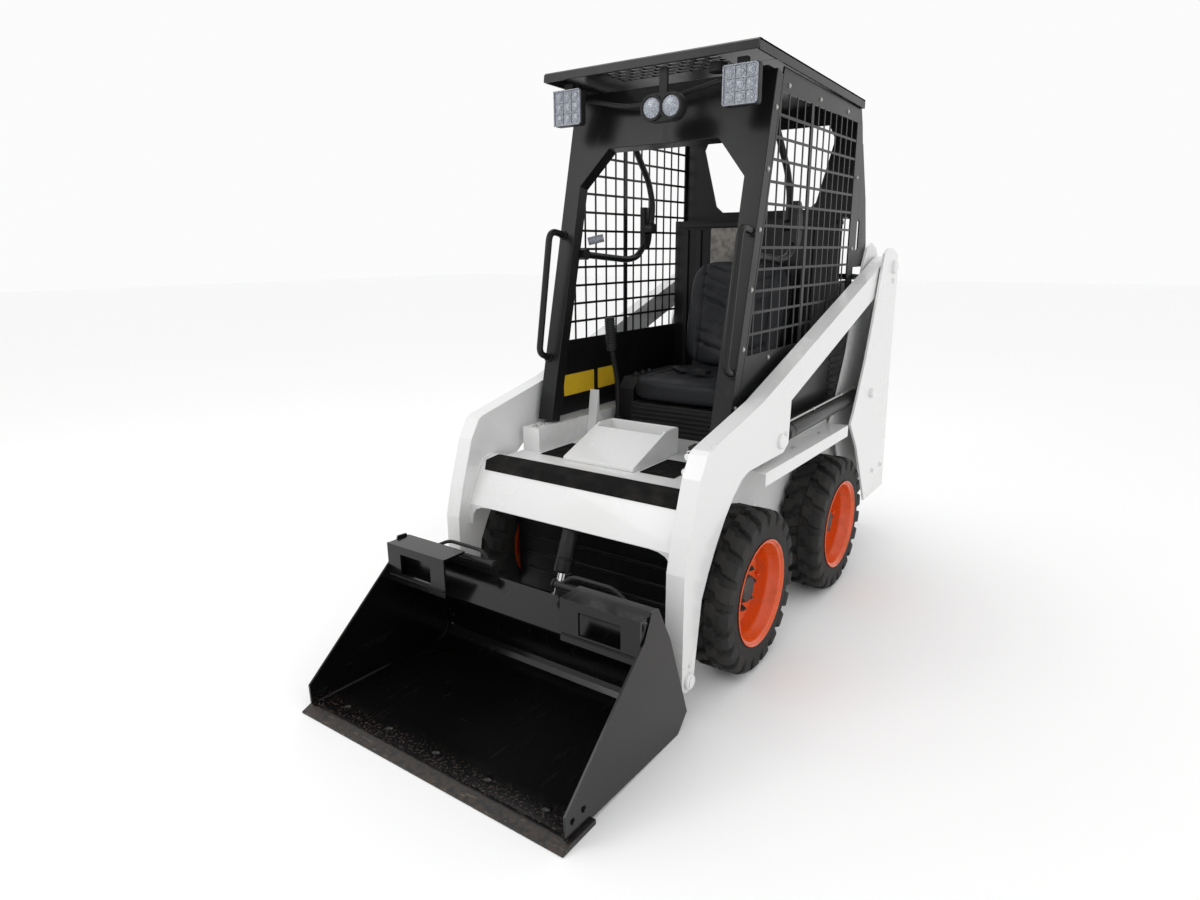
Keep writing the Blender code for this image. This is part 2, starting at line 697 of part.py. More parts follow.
def seat_bar(carrier):
    """Raised safety bar: an arm and a hub on each side, and the bar between them."""
    bar_y, bar_z = SEAT_BAR_REACH
    pivot_y, pivot_z = SEAT_BAR_PIVOT
    half = [(pivot_y, pivot_z), (pivot_y + 0.012, 1.430), (pivot_y - 0.020, 1.510)]
    half.append((bar_y + 0.030, bar_z - 0.022))
    path = [at_x(point, -SEAT_BAR_ARM_X) for point in half]
    path += [(-SEAT_BAR_ARM_X + 0.015, bar_y, bar_z), (SEAT_BAR_ARM_X - 0.015, bar_y, bar_z)]
    path += [at_x(point, SEAT_BAR_ARM_X) for point in reversed(half)]
    bar = solid_of(tube(path, 0.0115))
    for side in (-1, 1):
        hub_end = side * (SEAT_BAR_X - 0.011 - GAP)
        hub_start = side * (SEAT_BAR_ARM_X - 0.014)
        fuse(bar, cylinder((hub_start, pivot_y, pivot_z), (hub_end, pivot_y, pivot_z), 0.020))
    return node(bar, "seat_bar", "black_paint", carrier)


def work_light(name, side):
    """Square lamp under the roof's front corner, on a short bracket."""
    middle = side * 0.305
    top = roof_bottom(-0.130) - GAP
    lamp = box((middle - 0.057, -0.163, 1.652), (middle + 0.057, -0.118, 1.766))
    fuse(lamp, box((middle - 0.02, -0.150, 1.760), (middle + 0.02, -0.130, top)))
    return node(lamp, name, "lamp_grey")


def twin_lamp():
    """Oval housing for two round lamps, on a strap from the roof's front edge."""
    x, z, half, radius = 0.060, 1.672, 0.034, 0.042
    outline = arc((x + half, z), radius, -90, 90, 8) + arc((x - half, z), radius, 90, 270, 8)
    housing = flat(outline, "XZ", -0.183, -0.143)
    strap = box((x - 0.015, -0.170, z), (x + 0.015, -0.155, roof_bottom(-0.155) - GAP))
    return node(fuse(housing, strap), "twin_lamp", "black_plastic")


def grab_handle(name, side):
    """Round-bar handle on the front face of a post."""
    x = side * (CAB_HALF_WIDTH - 0.014)
    lean = math.tan(POST_LEAN)
    high, low = 1.312, 0.902
    path = [
        (x, post_y(high) - GAP, high),
        (x, post_y(high) - 0.055, high + 0.012),
        (x, post_y(high) - 0.080, high + 0.002),
        (x, post_y(high) - 0.090, high - 0.030),
        (x, post_y(low) - 0.052, low + 0.050),
        (x, post_y(low) - 0.045, low + 0.018),
        (x, post_y(low) - 0.020, low + 0.004),
        (x, post_y(low) - GAP, low),
    ]
    handle = solid_of(tube(path, 0.0115))
    face = flat(rectangle(-0.05, -0.2, 0.05, 1.2), "XZ", -GAP, 0.2)
    foot = Matrix.Translation(at_x(POST_FOOT, x))
    face.matrix_world = foot @ Matrix.Rotation(-math.atan(lean), 4, "X") @ face.matrix_world
    return node(cut(handle, face), name, "black_paint")


# ---------------------------------------------------------------- lift arms
BEAM_ANGLE = math.atan(0.3346)
BEAM_HALF_DEPTH = 0.050
ARM_END_RADIUS = 0.045
LEG_END_RADIUS = 0.034


def beam_edge(y, half):
    """Height of the beam's upper (+half) or lower (-half) edge at y."""
    slope = math.tan(BEAM_ANGLE)
    return LIFT_PIVOT[1] + half / math.cos(BEAM_ANGLE) + (y - LIFT_PIVOT[0]) * slope


def arm_outline():
    """Side outline of an arm: beam, knee plate and leg, rounded at both pins."""
    pivot = LIFT_PIVOT
    q = BUCKET_PIVOT
    up = math.degrees(BEAM_ANGLE) + 90
    reach = 0.06
    top = (pivot[0] - reach, beam_edge(pivot[0] - reach, BEAM_HALF_DEPTH))
    low = (pivot[0] - reach, beam_edge(pivot[0] - reach, -BEAM_HALF_DEPTH))
    outline = [(-0.535, 0.745), (-0.200, beam_edge(-0.200, BEAM_HALF_DEPTH)), top]
    outline += arc(pivot, ARM_END_RADIUS, up, up - 180, 8)
    outline += [low, (0.023, beam_edge(0.023, -BEAM_HALF_DEPTH)), (0.017, 0.652), (-0.023, 0.630)]
    outline += bend((-0.285, 0.630), (-0.370, 0.630), (-0.500, 0.460), (-0.562, 0.330), 6)
    outline += arc(q, LEG_END_RADIUS, 0, -180, 8)
    outline += [(-0.662, 0.432), (-0.637, 0.530), (-0.588, 0.677), (-0.552, 0.735)]
    return outline


def lift_arm(name, side, carrier):
    """One arm, with a pocket for the cylinder's rod eye and a pin for the coupler."""
    arm = flat(arm_outline(), "YZ", side * ARM_INNER_X, side * (ARM_INNER_X + ARM_WIDTH))
    pocket_half = 0.015
    pocket = flat(
        rectangle(-0.130, 0.540, 0.100, 0.775),
        "YZ",
        side * (ARM_MIDDLE_X - pocket_half),
        side * (ARM_MIDDLE_X + pocket_half),
    )
    bore = cylinder(at_x(LIFT_PIVOT, side * 0.3), at_x(LIFT_PIVOT, side * 0.5), PIVOT_PIN_RADIUS + PLAY)
    cut(arm, pocket, bore)
    pin_end = ARM_INNER_X - 0.040
    head = ARM_INNER_X + ARM_WIDTH + 0.014
    fuse(arm, cylinder(at_x(BUCKET_PIVOT, side * pin_end), at_x(BUCKET_PIVOT, side * head), 0.016))
    outside = side * (ARM_INNER_X + ARM_WIDTH - 0.001)
    boss = side * (ARM_INNER_X + ARM_WIDTH + 0.008)
    fuse(arm, cylinder(at_x(LIFT_CYLINDER_FRONT_PIN, outside), at_x(LIFT_CYLINDER_FRONT_PIN, boss), 0.018))
    return node(arm, name, "white_paint", carrier)


def cross_member(carrier):
    """Bent plate between the arms, arched below, with ears for the tilt cylinder."""
    half = ARM_INNER_X - GAP
    line = [(-0.485, 0.610), (-0.503, 0.610), (-0.540, 0.598)]
    line += [(-0.557, 0.575), (-0.613, 0.468), (-0.613, 0.400)]
    plate = flat(sheet(line, 0.009), "YZ", -half, half)
    arch = [(-0.372, 0.300), (0.372, 0.300), (0.372, 0.415)]
    arch += bend((0.372, 0.415), (0.370, 0.450), (0.345, 0.466), (0.300, 0.466), 4)[1:]
    arch += bend((-0.300, 0.466), (-0.345, 0.466), (-0.370, 0.450), (-0.372, 0.415), 4)
    cut(plate, flat(arch, "XZ", -0.75, -0.555))
    c = TILT_CYLINDER_TOP_PIN
    ear = [(-0.548, 0.580), (-0.538, 0.560), (-0.515, 0.546)]
    ear += [(-0.497, 0.556), (-0.4955, 0.602), (-0.530, 0.596)]
    for side in (-1, 1):
        fuse(plate, flat(ear, "YZ", side * 0.0145, side * 0.0245))
    fuse(plate, cylinder(at_x(c, -0.024), at_x(c, 0.024), CYLINDER_PIN_RADIUS))
    return node(plate, "arm_cross_member", "white_paint", carrier)


def hydraulic_couplers(carrier):
    """Black block with two quick couplers, on the inner face of the left arm."""
    inner = ARM_INNER_X - GAP
    block = box((inner - 0.045, -0.475, 0.655), (inner, -0.435, 0.735))
    for z, reach in ((0.715, 0.045), (0.675, 0.060)):
        fuse(block, cylinder((inner - 0.022, -0.436, z), (inner - 0.022, -0.475 - reach, z), 0.015))
    return node(block, "hydraulic_couplers", "chrome", carrier)


# ---------------------------------------------------------------- cylinders
def barrel(name, x, rear_pin, front_pin, radius, length, rod_radius, carrier):
    """Cylinder barrel with its rear eye, hollow for the rod."""
    base, mouth = along(rear_pin, front_pin, 0.026), along(rear_pin, front_pin, length)
    body = cylinder(at_x(base, x), at_x(mouth, x), radius, 24)
    eye = cylinder(at_x(rear_pin, x - EYE_WIDTH / 2), at_x(rear_pin, x + EYE_WIDTH / 2), EYE_RADIUS)
    neck_start, neck_end = along(rear_pin, front_pin, 0.016), along(rear_pin, front_pin, 0.030)
    neck = cylinder(at_x(neck_start, x), at_x(neck_end, x), 0.010)
    fuse(body, neck, eye)
    pin_hole = cylinder(at_x(rear_pin, x - 0.1), at_x(rear_pin, x + 0.1), CYLINDER_PIN_RADIUS + PLAY)
    inside = cylinder(
        at_x(along(rear_pin, front_pin, 0.036), x),
        at_x(along(rear_pin, front_pin, length + 0.01), x),
        rod_radius + PLAY,
    )
    return node(cut(body, pin_hole, inside), name, "black_paint", carrier)


def rod(name, x, rear_pin, front_pin, radius, length, eye_radius, carrier):
    """Piston rod with its eye at the front pin."""
    start, end = along(front_pin, rear_pin, 0.012), along(front_pin, rear_pin, length)
    body = cylinder(at_x(start, x), at_x(end, x), radius)
    eye = cylinder(at_x(front_pin, x - EYE_WIDTH / 2), at_x(front_pin, x + EYE_WIDTH / 2), eye_radius)
    return node(fuse(body, eye), name, "chrome", carrier)


# ---------------------------------------------------------------- bucket
def bucket_shell(carrier):
    """Bucket: bent sheet, two side plates, and a windowed frame plate at each rear corner."""
    inside = BUCKET_HALF_WIDTH - BUCKET_PLATE
    rise = BLADE_THICKNESS + GAP
    line = [(FRONT + 0.036, rise), (BUCKET_HEEL_Y - 0.010, 0.0)]
    line += bend((BUCKET_HEEL_Y, 0.0), (-0.690, 0.000), (-0.670, 0.020), BACK_FOOT, 4)
    line += [BACK_HEAD, LIP_EDGE]
    shell = flat(sheet(line, BUCKET_PLATE), "YZ", -inside - 0.001, inside + 0.001)
    side_outline = [
        (FRONT + 0.033, rise),
        (BUCKET_HEEL_Y, 0.0),
        BACK_FOOT,
        (-0.761, 0.306),
        SIDE_TOP_REAR,
        SIDE_TOP_FRONT,
        (-0.887, 0.3525),
        (FRONT + 0.023, 0.080),
        (FRONT + 0.024, rise + 0.004),
    ]
    for side in (-1, 1):
        fuse(shell, flat(side_outline, "YZ", side * inside, side * BUCKET_HALF_WIDTH))
        edges = sorted((side * FRAME_PLATE_INNER_X, side * (inside + 0.001)))
        face = rectangle(edges[0], FRAME_PLATE_BOTTOM, edges[1], FRAME_PLATE_TOP)
        hole = sorted((side * 0.268, side * 0.396))
        window = rectangle(hole[0], 0.320, hole[1], 0.384)
        fuse(shell, flat(face, "XZ", FRAME_PLATE_Y - 0.003, FRAME_PLATE_Y + 0.004, [window]))
        fuse(
            shell,
            box(
                (edges[0], FRAME_PLATE_Y, FRAME_PLATE_TOP - 0.008),
                (edges[1], -0.812, FRAME_PLATE_TOP - 0.001),
            ),
        )
    return node(shell, "bucket_shell", "bucket_black", carrier)


def cutting_edge(carrier):
    """Wide blade under the bucket's front, ground to an edge."""
    outline = [
        (FRONT, 0.0),
        (FRONT + BLADE_DEPTH, 0.0),
        (FRONT + BLADE_DEPTH, BLADE_THICKNESS - 0.003),
        (FRONT + 0.030, BLADE_THICKNESS),
        (FRONT, 0.004),
    ]
    blade = flat(outline, "YZ", -BLADE_HALF_WIDTH, BLADE_HALF_WIDTH)
    return node(blade, "cutting_edge", "worn_steel", carrier)


def coupler_frame(carrier):
    """Quick coupler behind the bucket: two wings, a low bar, and ears for the arm and cylinder pins."""
    foot, head = Vector(BACK_FOOT), Vector(BACK_HEAD)
    up = (head - foot).normalized()
    lean = math.atan2(-up.x, up.y)
    wing = 0.345
    outline = [(-wing, 0.03), (wing, 0.03), (wing, 0.352), (0.115, 0.352), (0.115, 0.115)]
    outline += [(-0.115, 0.115), (-0.115, 0.352), (-wing, 0.352)]
    plate = flat(outline, "XZ", GAP, 0.016)
    place = Matrix.Translation(at_x(foot, 0)) @ Matrix.Rotation(lean, 4, "X")
    plate.matrix_world = place @ plate.matrix_world
    q, t = BUCKET_PIVOT, TILT_CYLINDER_LOW_PIN
    back = Vector((up.y, -up.x))

    def on_plate(s, depth=0.008):
        return tuple(foot + up * s + back * depth)

    arm_ear = [on_plate(0.035), *arc(q, 0.026, -80, 80, 6), on_plate(0.200)]
    for side in (-1, 1):
        near = side * (ARM_INNER_X - 0.038)
        far = side * (ARM_INNER_X - 0.008)
        ear = flat(arm_ear, "YZ", near, far)
        rib = flat(arm_ear, "YZ", side * 0.330, side * (ARM_INNER_X - 0.037))
        cutter = cylinder(at_x(q, side * 0.2), at_x(q, side * 0.5), 0.016 + PLAY)
        fuse(plate, ear, rib)
        cut(plate, cutter)
        rod_ear = [on_plate(0.040), *arc(t, 0.020, -75, 85, 6)]
        rod_ear += [on_plate(0.190, 0.030), on_plate(0.112, 0.010)]
        fuse(plate, flat(rod_ear, "YZ", side * 0.0145, side * 0.0265))
    return node(plate, "coupler_frame", "black_paint", carrier)


def coupler_lever(name, side, carrier):
    """Latch lever lying along the top of a coupler wing, with a bent wire grip."""
    foot, head = Vector(BACK_FOOT), Vector(BACK_HEAD)
    up = (head - foot).normalized()
    back = Vector((up.y, -up.x))
    top = foot + up * (0.352 + GAP + 0.010) + back * 0.008
    outer_end = ARM_INNER_X - LEVER_CLEARANCE
    bar = cylinder(at_x(top, side * 0.105), at_x(top, side * outer_end), 0.010, 12)
    grip = solid_of(
        tube(
            [
                (side * 0.130, top.x, top.y),
                (side * 0.165, top.x + 0.010, top.y + 0.030),
                (side * 0.300, top.x + 0.010, top.y + 0.030),
                (side * 0.360, top.x, top.y),
            ],
            0.006,
        )
    )
    return node(fuse(bar, grip), name, "black_paint", carrier)


# ---------------------------------------------------------------- wheels
def wheel(name, place, side, carrier):
    """Tyre and deep-dish rim with its hub, turned about the axle."""
    turn = Matrix.Rotation(side * math.pi / 2, 4, "Y")
    at = Matrix.Translation(at_x(place, side * WHEEL_INNER_X)) @ turn
    width = TYRE_WIDTH
    bead = RIM_RADIUS - 0.010
    tyre_profile = [  # (radius, distance from the inner sidewall), outer surface from outside to inside
        (bead, width - 0.010),
        (RIM_RADIUS + 0.006, width - 0.002),
        (RIM_RADIUS + 0.030, width),
        (TYRE_RADIUS - 0.030, width - 0.004),
        (TYRE_RADIUS - 0.008, width - 0.016),
        (TYRE_RADIUS, width - 0.040),
        (TYRE_RADIUS, 0.040),
        (TYRE_RADIUS - 0.008, 0.016),
        (TYRE_RADIUS - 0.030, 0.004),
        (RIM_RADIUS + 0.030, 0.0),
        (RIM_RADIUS + 0.006, 0.002),
        (bead, 0.010),
    ]
    node(turned(tyre_profile, at), name + "_tyre", "tyre_rubber", carrier)
    barrel_outer = bead - GAP
    barrel_inner = barrel_outer - 0.006
    disc = 0.045
    lip = RIM_RADIUS
    bore = STUB_RADIUS + PLAY
    rim_profile = [
        (lip, width + 0.001),
        (lip, width - 0.0015),
        (barrel_outer, width - 0.0095),
        (barrel_outer, 0.006),
        (barrel_inner, 0.006),
        (barrel_inner, disc - 0.006),
        (0.055, disc - 0.006),
        (0.050, disc - 0.020),
        (bore, disc - 0.020),
        (bore, disc + 0.035),
        (0.034, disc + 0.035),
        (0.045, disc + 0.025),
        (0.048, disc + 0.006),
        (barrel_inner - 0.02, disc + 0.006),
        (barrel_inner, disc + 0.026),
        (barrel_inner, width - 0.020),
        (lip - 0.006, width + 0.001),
    ]
    node(turned(rim_profile, at), name + "_rim", "orange_paint", carrier)


# ---------------------------------------------------------------- assembly
main_frame()
axle("front_axle", FRONT_AXLE)
axle("rear_axle", REAR_AXLE)
floor()
foot_tray()
upright_bracket()
engine_block()
engine_cover()
cab_roof()
front_frame()
back_wall()
seat()
twin_lamp()

door_axis = empty(
    "rear_door_axis", (-DOOR_HALF_WIDTH, DOOR_FRONT + DOOR_HINGE_INSET, (DOOR_BOTTOM + DOOR_TOP) / 2)
)
rear_door(door_axis)
seat_bar_axis = empty("seat_bar_axis", at_x(SEAT_BAR_PIVOT, 0))
seat_bar(seat_bar_axis)
lift_axis = empty("lift_arm_axis", at_x(LIFT_PIVOT, 0))
bucket_axis = empty("bucket_axis", at_x(BUCKET_PIVOT, 0))
hold(bucket_axis, lift_axis)
cross_member(lift_axis)
hydraulic_couplers(lift_axis)
bucket_shell(bucket_axis)
cutting_edge(bucket_axis)
coupler_frame(bucket_axis)
tilt_barrel_axis = empty("tilt_barrel_axis", at_x(TILT_CYLINDER_TOP_PIN, 0))
barrel(
    "tilt_barrel", 0, TILT_CYLINDER_TOP_PIN, TILT_CYLINDER_LOW_PIN,
    TILT_BARREL_RADIUS, TILT_BARREL_LENGTH, TILT_ROD_RADIUS, tilt_barrel_axis,
)
rod(
    "tilt_rod", 0, TILT_CYLINDER_TOP_PIN, TILT_CYLINDER_LOW_PIN,
    TILT_ROD_RADIUS, TILT_ROD_LENGTH, 0.019, tilt_barrel_axis,
)

for side, word in ((1, "left"), (-1, "right")):
    tower("tower_" + word, side)
    fender("fender_" + word, side)
    cab_side("cab_side_" + word, side)
    console("console_" + word, side)
    steering_lever("steering_lever_" + word, side)
    work_light("work_light_" + word, side)
    seat_bar_rail("seat_bar_rail_" + word, side)
    grab_handle("grab_handle_" + word, side)
    lift_arm("lift_arm_" + word, side, lift_axis)
    coupler_lever("coupler_lever_" + word, side, bucket_axis)
    cylinder_axis = empty("lift_barrel_axis_" + word, at_x(LIFT_CYLINDER_REAR_PIN, side * ARM_MIDDLE_X))
    barrel(
        "lift_barrel_" + word, side * ARM_MIDDLE_X, LIFT_CYLINDER_REAR_PIN, LIFT_CYLINDER_FRONT_PIN,
        LIFT_BARREL_RADIUS, LIFT_BARREL_LENGTH, LIFT_ROD_RADIUS, cylinder_axis,
    )
    rod(
        "lift_rod_" + word, side * ARM_MIDDLE_X, LIFT_CYLINDER_REAR_PIN, LIFT_CYLINDER_FRONT_PIN,
        LIFT_ROD_RADIUS, LIFT_ROD_LENGTH, EYE_RADIUS, cylinder_axis,
    )
    for end, place in (("front", FRONT_AXLE), ("rear", REAR_AXLE)):
        wheel_axis = empty(f"{end}_{word}_wheel_axis", at_x(place, side * WHEEL_INNER_X))
        wheel(f"{end}_{word}", place, side, wheel_axis)
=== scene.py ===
"""Looks of the skid steer loader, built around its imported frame. Metres; +X left, -Y forward, +Z up."""

import json
import math

import bpy
import numpy as np
from bpy.props import FloatProperty, FloatVectorProperty, IntProperty, PointerProperty
from mathutils import Matrix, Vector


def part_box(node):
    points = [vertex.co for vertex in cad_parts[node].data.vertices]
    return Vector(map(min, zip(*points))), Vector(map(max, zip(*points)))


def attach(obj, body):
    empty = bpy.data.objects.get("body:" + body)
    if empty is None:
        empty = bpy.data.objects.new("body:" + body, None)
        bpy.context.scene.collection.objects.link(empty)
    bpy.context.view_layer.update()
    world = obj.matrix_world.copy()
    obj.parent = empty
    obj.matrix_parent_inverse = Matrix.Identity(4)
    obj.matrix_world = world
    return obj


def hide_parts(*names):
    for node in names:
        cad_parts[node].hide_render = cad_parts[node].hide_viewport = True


bl_info = {
    "name": "Skid steer loader",
    "version": (1, 0, 0),
    "blender": (4, 5, 0),
    "location": "3D View > Sidebar > Loader",
    "description": "Builds the visible pieces and finishes of a small skid steer loader around its frame",
    "category": "Object",
}

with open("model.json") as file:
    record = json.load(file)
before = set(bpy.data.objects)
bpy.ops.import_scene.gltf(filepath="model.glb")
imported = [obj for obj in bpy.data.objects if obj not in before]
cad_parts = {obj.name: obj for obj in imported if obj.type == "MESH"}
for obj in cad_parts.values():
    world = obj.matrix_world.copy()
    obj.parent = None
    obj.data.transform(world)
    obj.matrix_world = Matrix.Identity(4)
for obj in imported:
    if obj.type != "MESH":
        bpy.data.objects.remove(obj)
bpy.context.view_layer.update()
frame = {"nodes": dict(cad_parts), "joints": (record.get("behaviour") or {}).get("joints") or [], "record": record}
NODES = frame["nodes"]
JOINTS = {joint["name"]: joint for joint in frame["joints"]}
SLOTS = {row["node"]: row["material_slot"] for row in frame["record"]["subparts"]}
SIDES = (("left", 1), ("right", -1))

POST_FOOT = (-0.280, 0.691)  # front face of a front post at its foot (y, z)
POST_LEAN = math.tan(math.radians(13.1))
POST_BACK = 0.0465  # from a post's front face to its back face, along y
SCREEN_LOW, SCREEN_HIGH = 0.948, 1.709


# ---------------------------------------------------------------- properties
class LoaderSizes(bpy.types.PropertyGroup):
    lug_depth: FloatProperty(
        name="Lug depth", description="Height of a tyre's lugs", default=0.016, min=0.002, max=0.02,
        unit="LENGTH"
    )
    lug_count: IntProperty(name="Lugs", description="Lugs on each half of a tyre", default=21, min=8, max=40)
    nut_count: IntProperty(name="Wheel nuts", description="Nuts that hold a wheel", default=8, min=4, max=12)
    nut_circle: FloatProperty(
        name="Nut circle", description="Radius of the circle of nuts", default=0.068, min=0.05, max=0.09,
        unit="LENGTH"
    )
    wire: FloatProperty(
        name="Screen bar", description="Width of a bar of the side screens", default=0.0085, unit="LENGTH"
    )
    screen_pitch: FloatProperty(
        name="Screen pitch", description="Height of one row of the side screens", default=0.0634,
        unit="LENGTH"
    )
    edge: FloatProperty(
        name="Edge rounding", description="Rounding of welded plate edges", default=0.0022, unit="LENGTH"
    )


class LoaderColours(bpy.types.PropertyGroup):
    white: FloatVectorProperty(
        name="White", description="Frame and arms", subtype="COLOR", size=3, default=(0.80, 0.805, 0.80)
    )
    black: FloatVectorProperty(
        name="Black", description="Cab and cylinders", subtype="COLOR", size=3,
        default=(0.0075, 0.0075, 0.0078)
    )
    orange: FloatVectorProperty(
        name="Orange", description="Wheels", subtype="COLOR", size=3, default=(0.72, 0.085, 0.006)
    )
    rubber: FloatVectorProperty(
        name="Rubber", description="Tyres", subtype="COLOR", size=3, default=(0.014, 0.014, 0.014)
    )
    dust: FloatVectorProperty(
        name="Dust", description="Dry dust", subtype="COLOR", size=3, default=(0.30, 0.26, 0.21)
    )


def sizes():
    return bpy.context.scene.loader_sizes


def colours():
    return bpy.context.scene.loader_colours


# ---------------------------------------------------------------- shader maths
class Value:
    """A node's output that takes part in sums."""

    def __init__(self, tree, output):
        self.tree = tree
        self.output = output

    def combine(self, operation, first, second=None):
        node = self.tree.nodes.new("ShaderNodeMath")
        node.operation = operation
        for socket, value in zip(node.inputs, (first, second)):
            if isinstance(value, Value):
                self.tree.links.new(value.output, socket)
            elif value is not None:
                socket.default_value = value
        return Value(self.tree, node.outputs[0])

    def __add__(self, other):
        return self.combine("ADD", self, other)

    __radd__ = __add__

    def __sub__(self, other):
        return self.combine("SUBTRACT", self, other)

    def __rsub__(self, other):
        return self.combine("SUBTRACT", other, self)

    def __mul__(self, other):
        return self.combine("MULTIPLY", self, other)

    __rmul__ = __mul__

    def above(self, low, high):
        """0 under low, 1 over high, smooth between."""
        node = self.tree.nodes.new("ShaderNodeMapRange")
        node.interpolation_type = "SMOOTHSTEP"
        self.tree.links.new(self.output, node.inputs["Value"])
        node.inputs["From Min"].default_value = low
        node.inputs["From Max"].default_value = high
        return Value(self.tree, node.outputs["Result"])


class Finish:
    """A Principled material under construction."""

    def __init__(self, name, colour, roughness, metallic=0.0, coat=0.0, specular=0.5):
        self.material = bpy.data.materials.new(name)
        self.material.use_nodes = True
        self.tree = self.material.node_tree
        self.shader = self.tree.nodes["Principled BSDF"]
        self.shader.inputs["Base Color"].default_value = (*colour, 1)
        self.shader.inputs["Roughness"].default_value = roughness
        self.shader.inputs["Metallic"].default_value = metallic
        self.shader.inputs["Coat Weight"].default_value = coat
        self.shader.inputs["Specular IOR Level"].default_value = specular
        self.place = self.node("ShaderNodeTexCoord", "Object")

    def node(self, kind, output, settings=None, **inputs):
        """A new node's output, after its settings and its inputs' values or links are set."""
        node = self.tree.nodes.new(kind)
        for key, value in (settings or {}).items():
            setattr(node, key, value)
        for key, value in inputs.items():
            socket = node.inputs[key.replace("_", " ")]
            if isinstance(value, Value):
                self.tree.links.new(value.output, socket)
            else:
                socket.default_value = value
        return Value(self.tree, node.outputs[output])

    def noise(self, scale, detail=3.0, stretch=(1, 1, 1), offset=(0, 0, 0)):
        place = self.node("ShaderNodeMapping", "Vector", Vector=self.place, Scale=stretch, Location=offset)
        return self.node("ShaderNodeTexNoise", "Fac", Vector=place, Scale=scale, Detail=detail)

    def cells(self, scale, output="Distance"):
        return self.node("ShaderNodeTexVoronoi", output, Vector=self.place, Scale=scale)

    def axis(self, name, source=None):
        """One coordinate of the place, or of another vector."""
        return self.node("ShaderNodeSeparateXYZ", name, Vector=source or self.place)

    def facing_up(self):
        return self.axis("Z", self.node("ShaderNodeNewGeometry", "Normal"))

    def mix(self, mask, first, second):
        node = self.tree.nodes.new("ShaderNodeMix")
        node.data_type = "RGBA"
        self.tree.links.new(mask.output, node.inputs["Factor"])
        for socket, value in ((node.inputs[6], first), (node.inputs[7], second)):
            if isinstance(value, Value):
                self.tree.links.new(value.output, socket)
            else:
                socket.default_value = (*value, 1)
        return Value(self.tree, node.outputs[2])

    def drive(self, name, value):
        self.tree.links.new(value.output, self.shader.inputs[name])
        return self

    def bump(self, height, strength, distance=0.001):
        normal = self.node("ShaderNodeBump", "Normal", Height=height, Strength=strength, Distance=distance)
        return self.drive("Normal", normal)


def tint(colour, factor):
    return tuple(min(1.0, c * factor) for c in colour)


def white_paint():
    """Gloss white enamel: faint orange peel, a little dust low down and on flats."""
    c = colours()
    f = Finish("white_paint", c.white, 0.28, coat=0.35)
    blotch = f.noise(3.0, 4)
    low = 1 - f.axis("Z").above(0.15, 0.75)
    specks = f.noise(260, 2).above(0.66, 0.74)
    flats = f.facing_up().above(0.7, 1.0)
    dust = blotch.above(0.48, 0.80) * (low * 0.30 + flats * 0.10) + specks * low * 0.25
    f.drive("Base Color", f.mix(dust, f.mix(blotch, c.white, tint(c.white, 0.965)), tint(c.dust, 1.7)))
    f.drive("Roughness", blotch * 0.10 + dust * 0.35 + 0.21)
    return f.bump(f.noise(420, 2), 0.05, 0.0004)


def black_paint():
    """Satin black cab paint: fine peel, greyish scuffs and settled dust."""
    c = colours()
    f = Finish("black_paint", c.black, 0.36, specular=0.28)
    scuff = f.noise(9, 5, (1, 1, 0.35)).above(0.60, 0.78)
    streak = f.noise(55, 4, (1, 1, 0.12)).above(0.62, 0.74)
    flats = f.facing_up().above(0.6, 1.0)
    dust = flats * f.noise(22, 4).above(0.35, 0.75)
    worn = f.mix(scuff * 0.25 + streak * 0.15, c.black, (0.045, 0.041, 0.036))
    f.drive("Base Color", f.mix(dust * 0.12, worn, tint(c.dust, 0.45)))
    f.drive("Roughness", scuff * 0.14 + dust * 0.25 + f.noise(5, 3) * 0.12 + 0.25)
    return f.bump(f.noise(520, 2), 0.10, 0.0005)


def bucket_black():
    """Gloss black bucket paint: long scratches in the floor and brown wear near the edge."""
    c = colours()
    f = Finish("bucket_black", tint(c.black, 0.55), 0.18, coat=0.12, specular=0.3)
    front = 1 - f.axis("Y").above(-1.205, -1.105)
    low = 1 - f.axis("Z").above(0.012, 0.05)
    scratch = f.noise(75, 3, (1, 0.06, 0.3)).above(0.63, 0.69)
    cross = f.noise(60, 3, (0.08, 1, 1), (3, 1, 2)).above(0.66, 0.71)
    grit = f.noise(130, 4).above(0.52, 0.66)
    worn = front * low * grit
    f.drive(
        "Base Color",
        f.mix(worn, f.mix(scratch * 0.10, tint(c.black, 0.45), (0.030, 0.028, 0.026)), (0.060, 0.042, 0.030))
    )
    f.drive("Roughness", f.noise(7, 4) * 0.14 + scratch * 0.10 + cross * 0.08 + worn * 0.35 + 0.12)
    return f.bump(f.noise(18, 3) + scratch * -0.15, 0.10, 0.002)


def orange_paint():
    """Orange wheel enamel with brown dust that gathers in the dish."""
    c = colours()
    f = Finish("orange_paint", c.orange, 0.32, coat=0.2)
    dust = f.noise(26, 5).above(0.50, 0.78)
    chips = f.noise(210, 2).above(0.70, 0.74)
    f.drive(
        "Base Color",
        f.mix(chips * 0.7, f.mix(dust * 0.34, c.orange, (0.26, 0.085, 0.035)), (0.05, 0.04, 0.035))
    )
    f.drive("Roughness", dust * 0.35 + 0.27)
    return f.bump(f.noise(300, 2), 0.08, 0.0005)


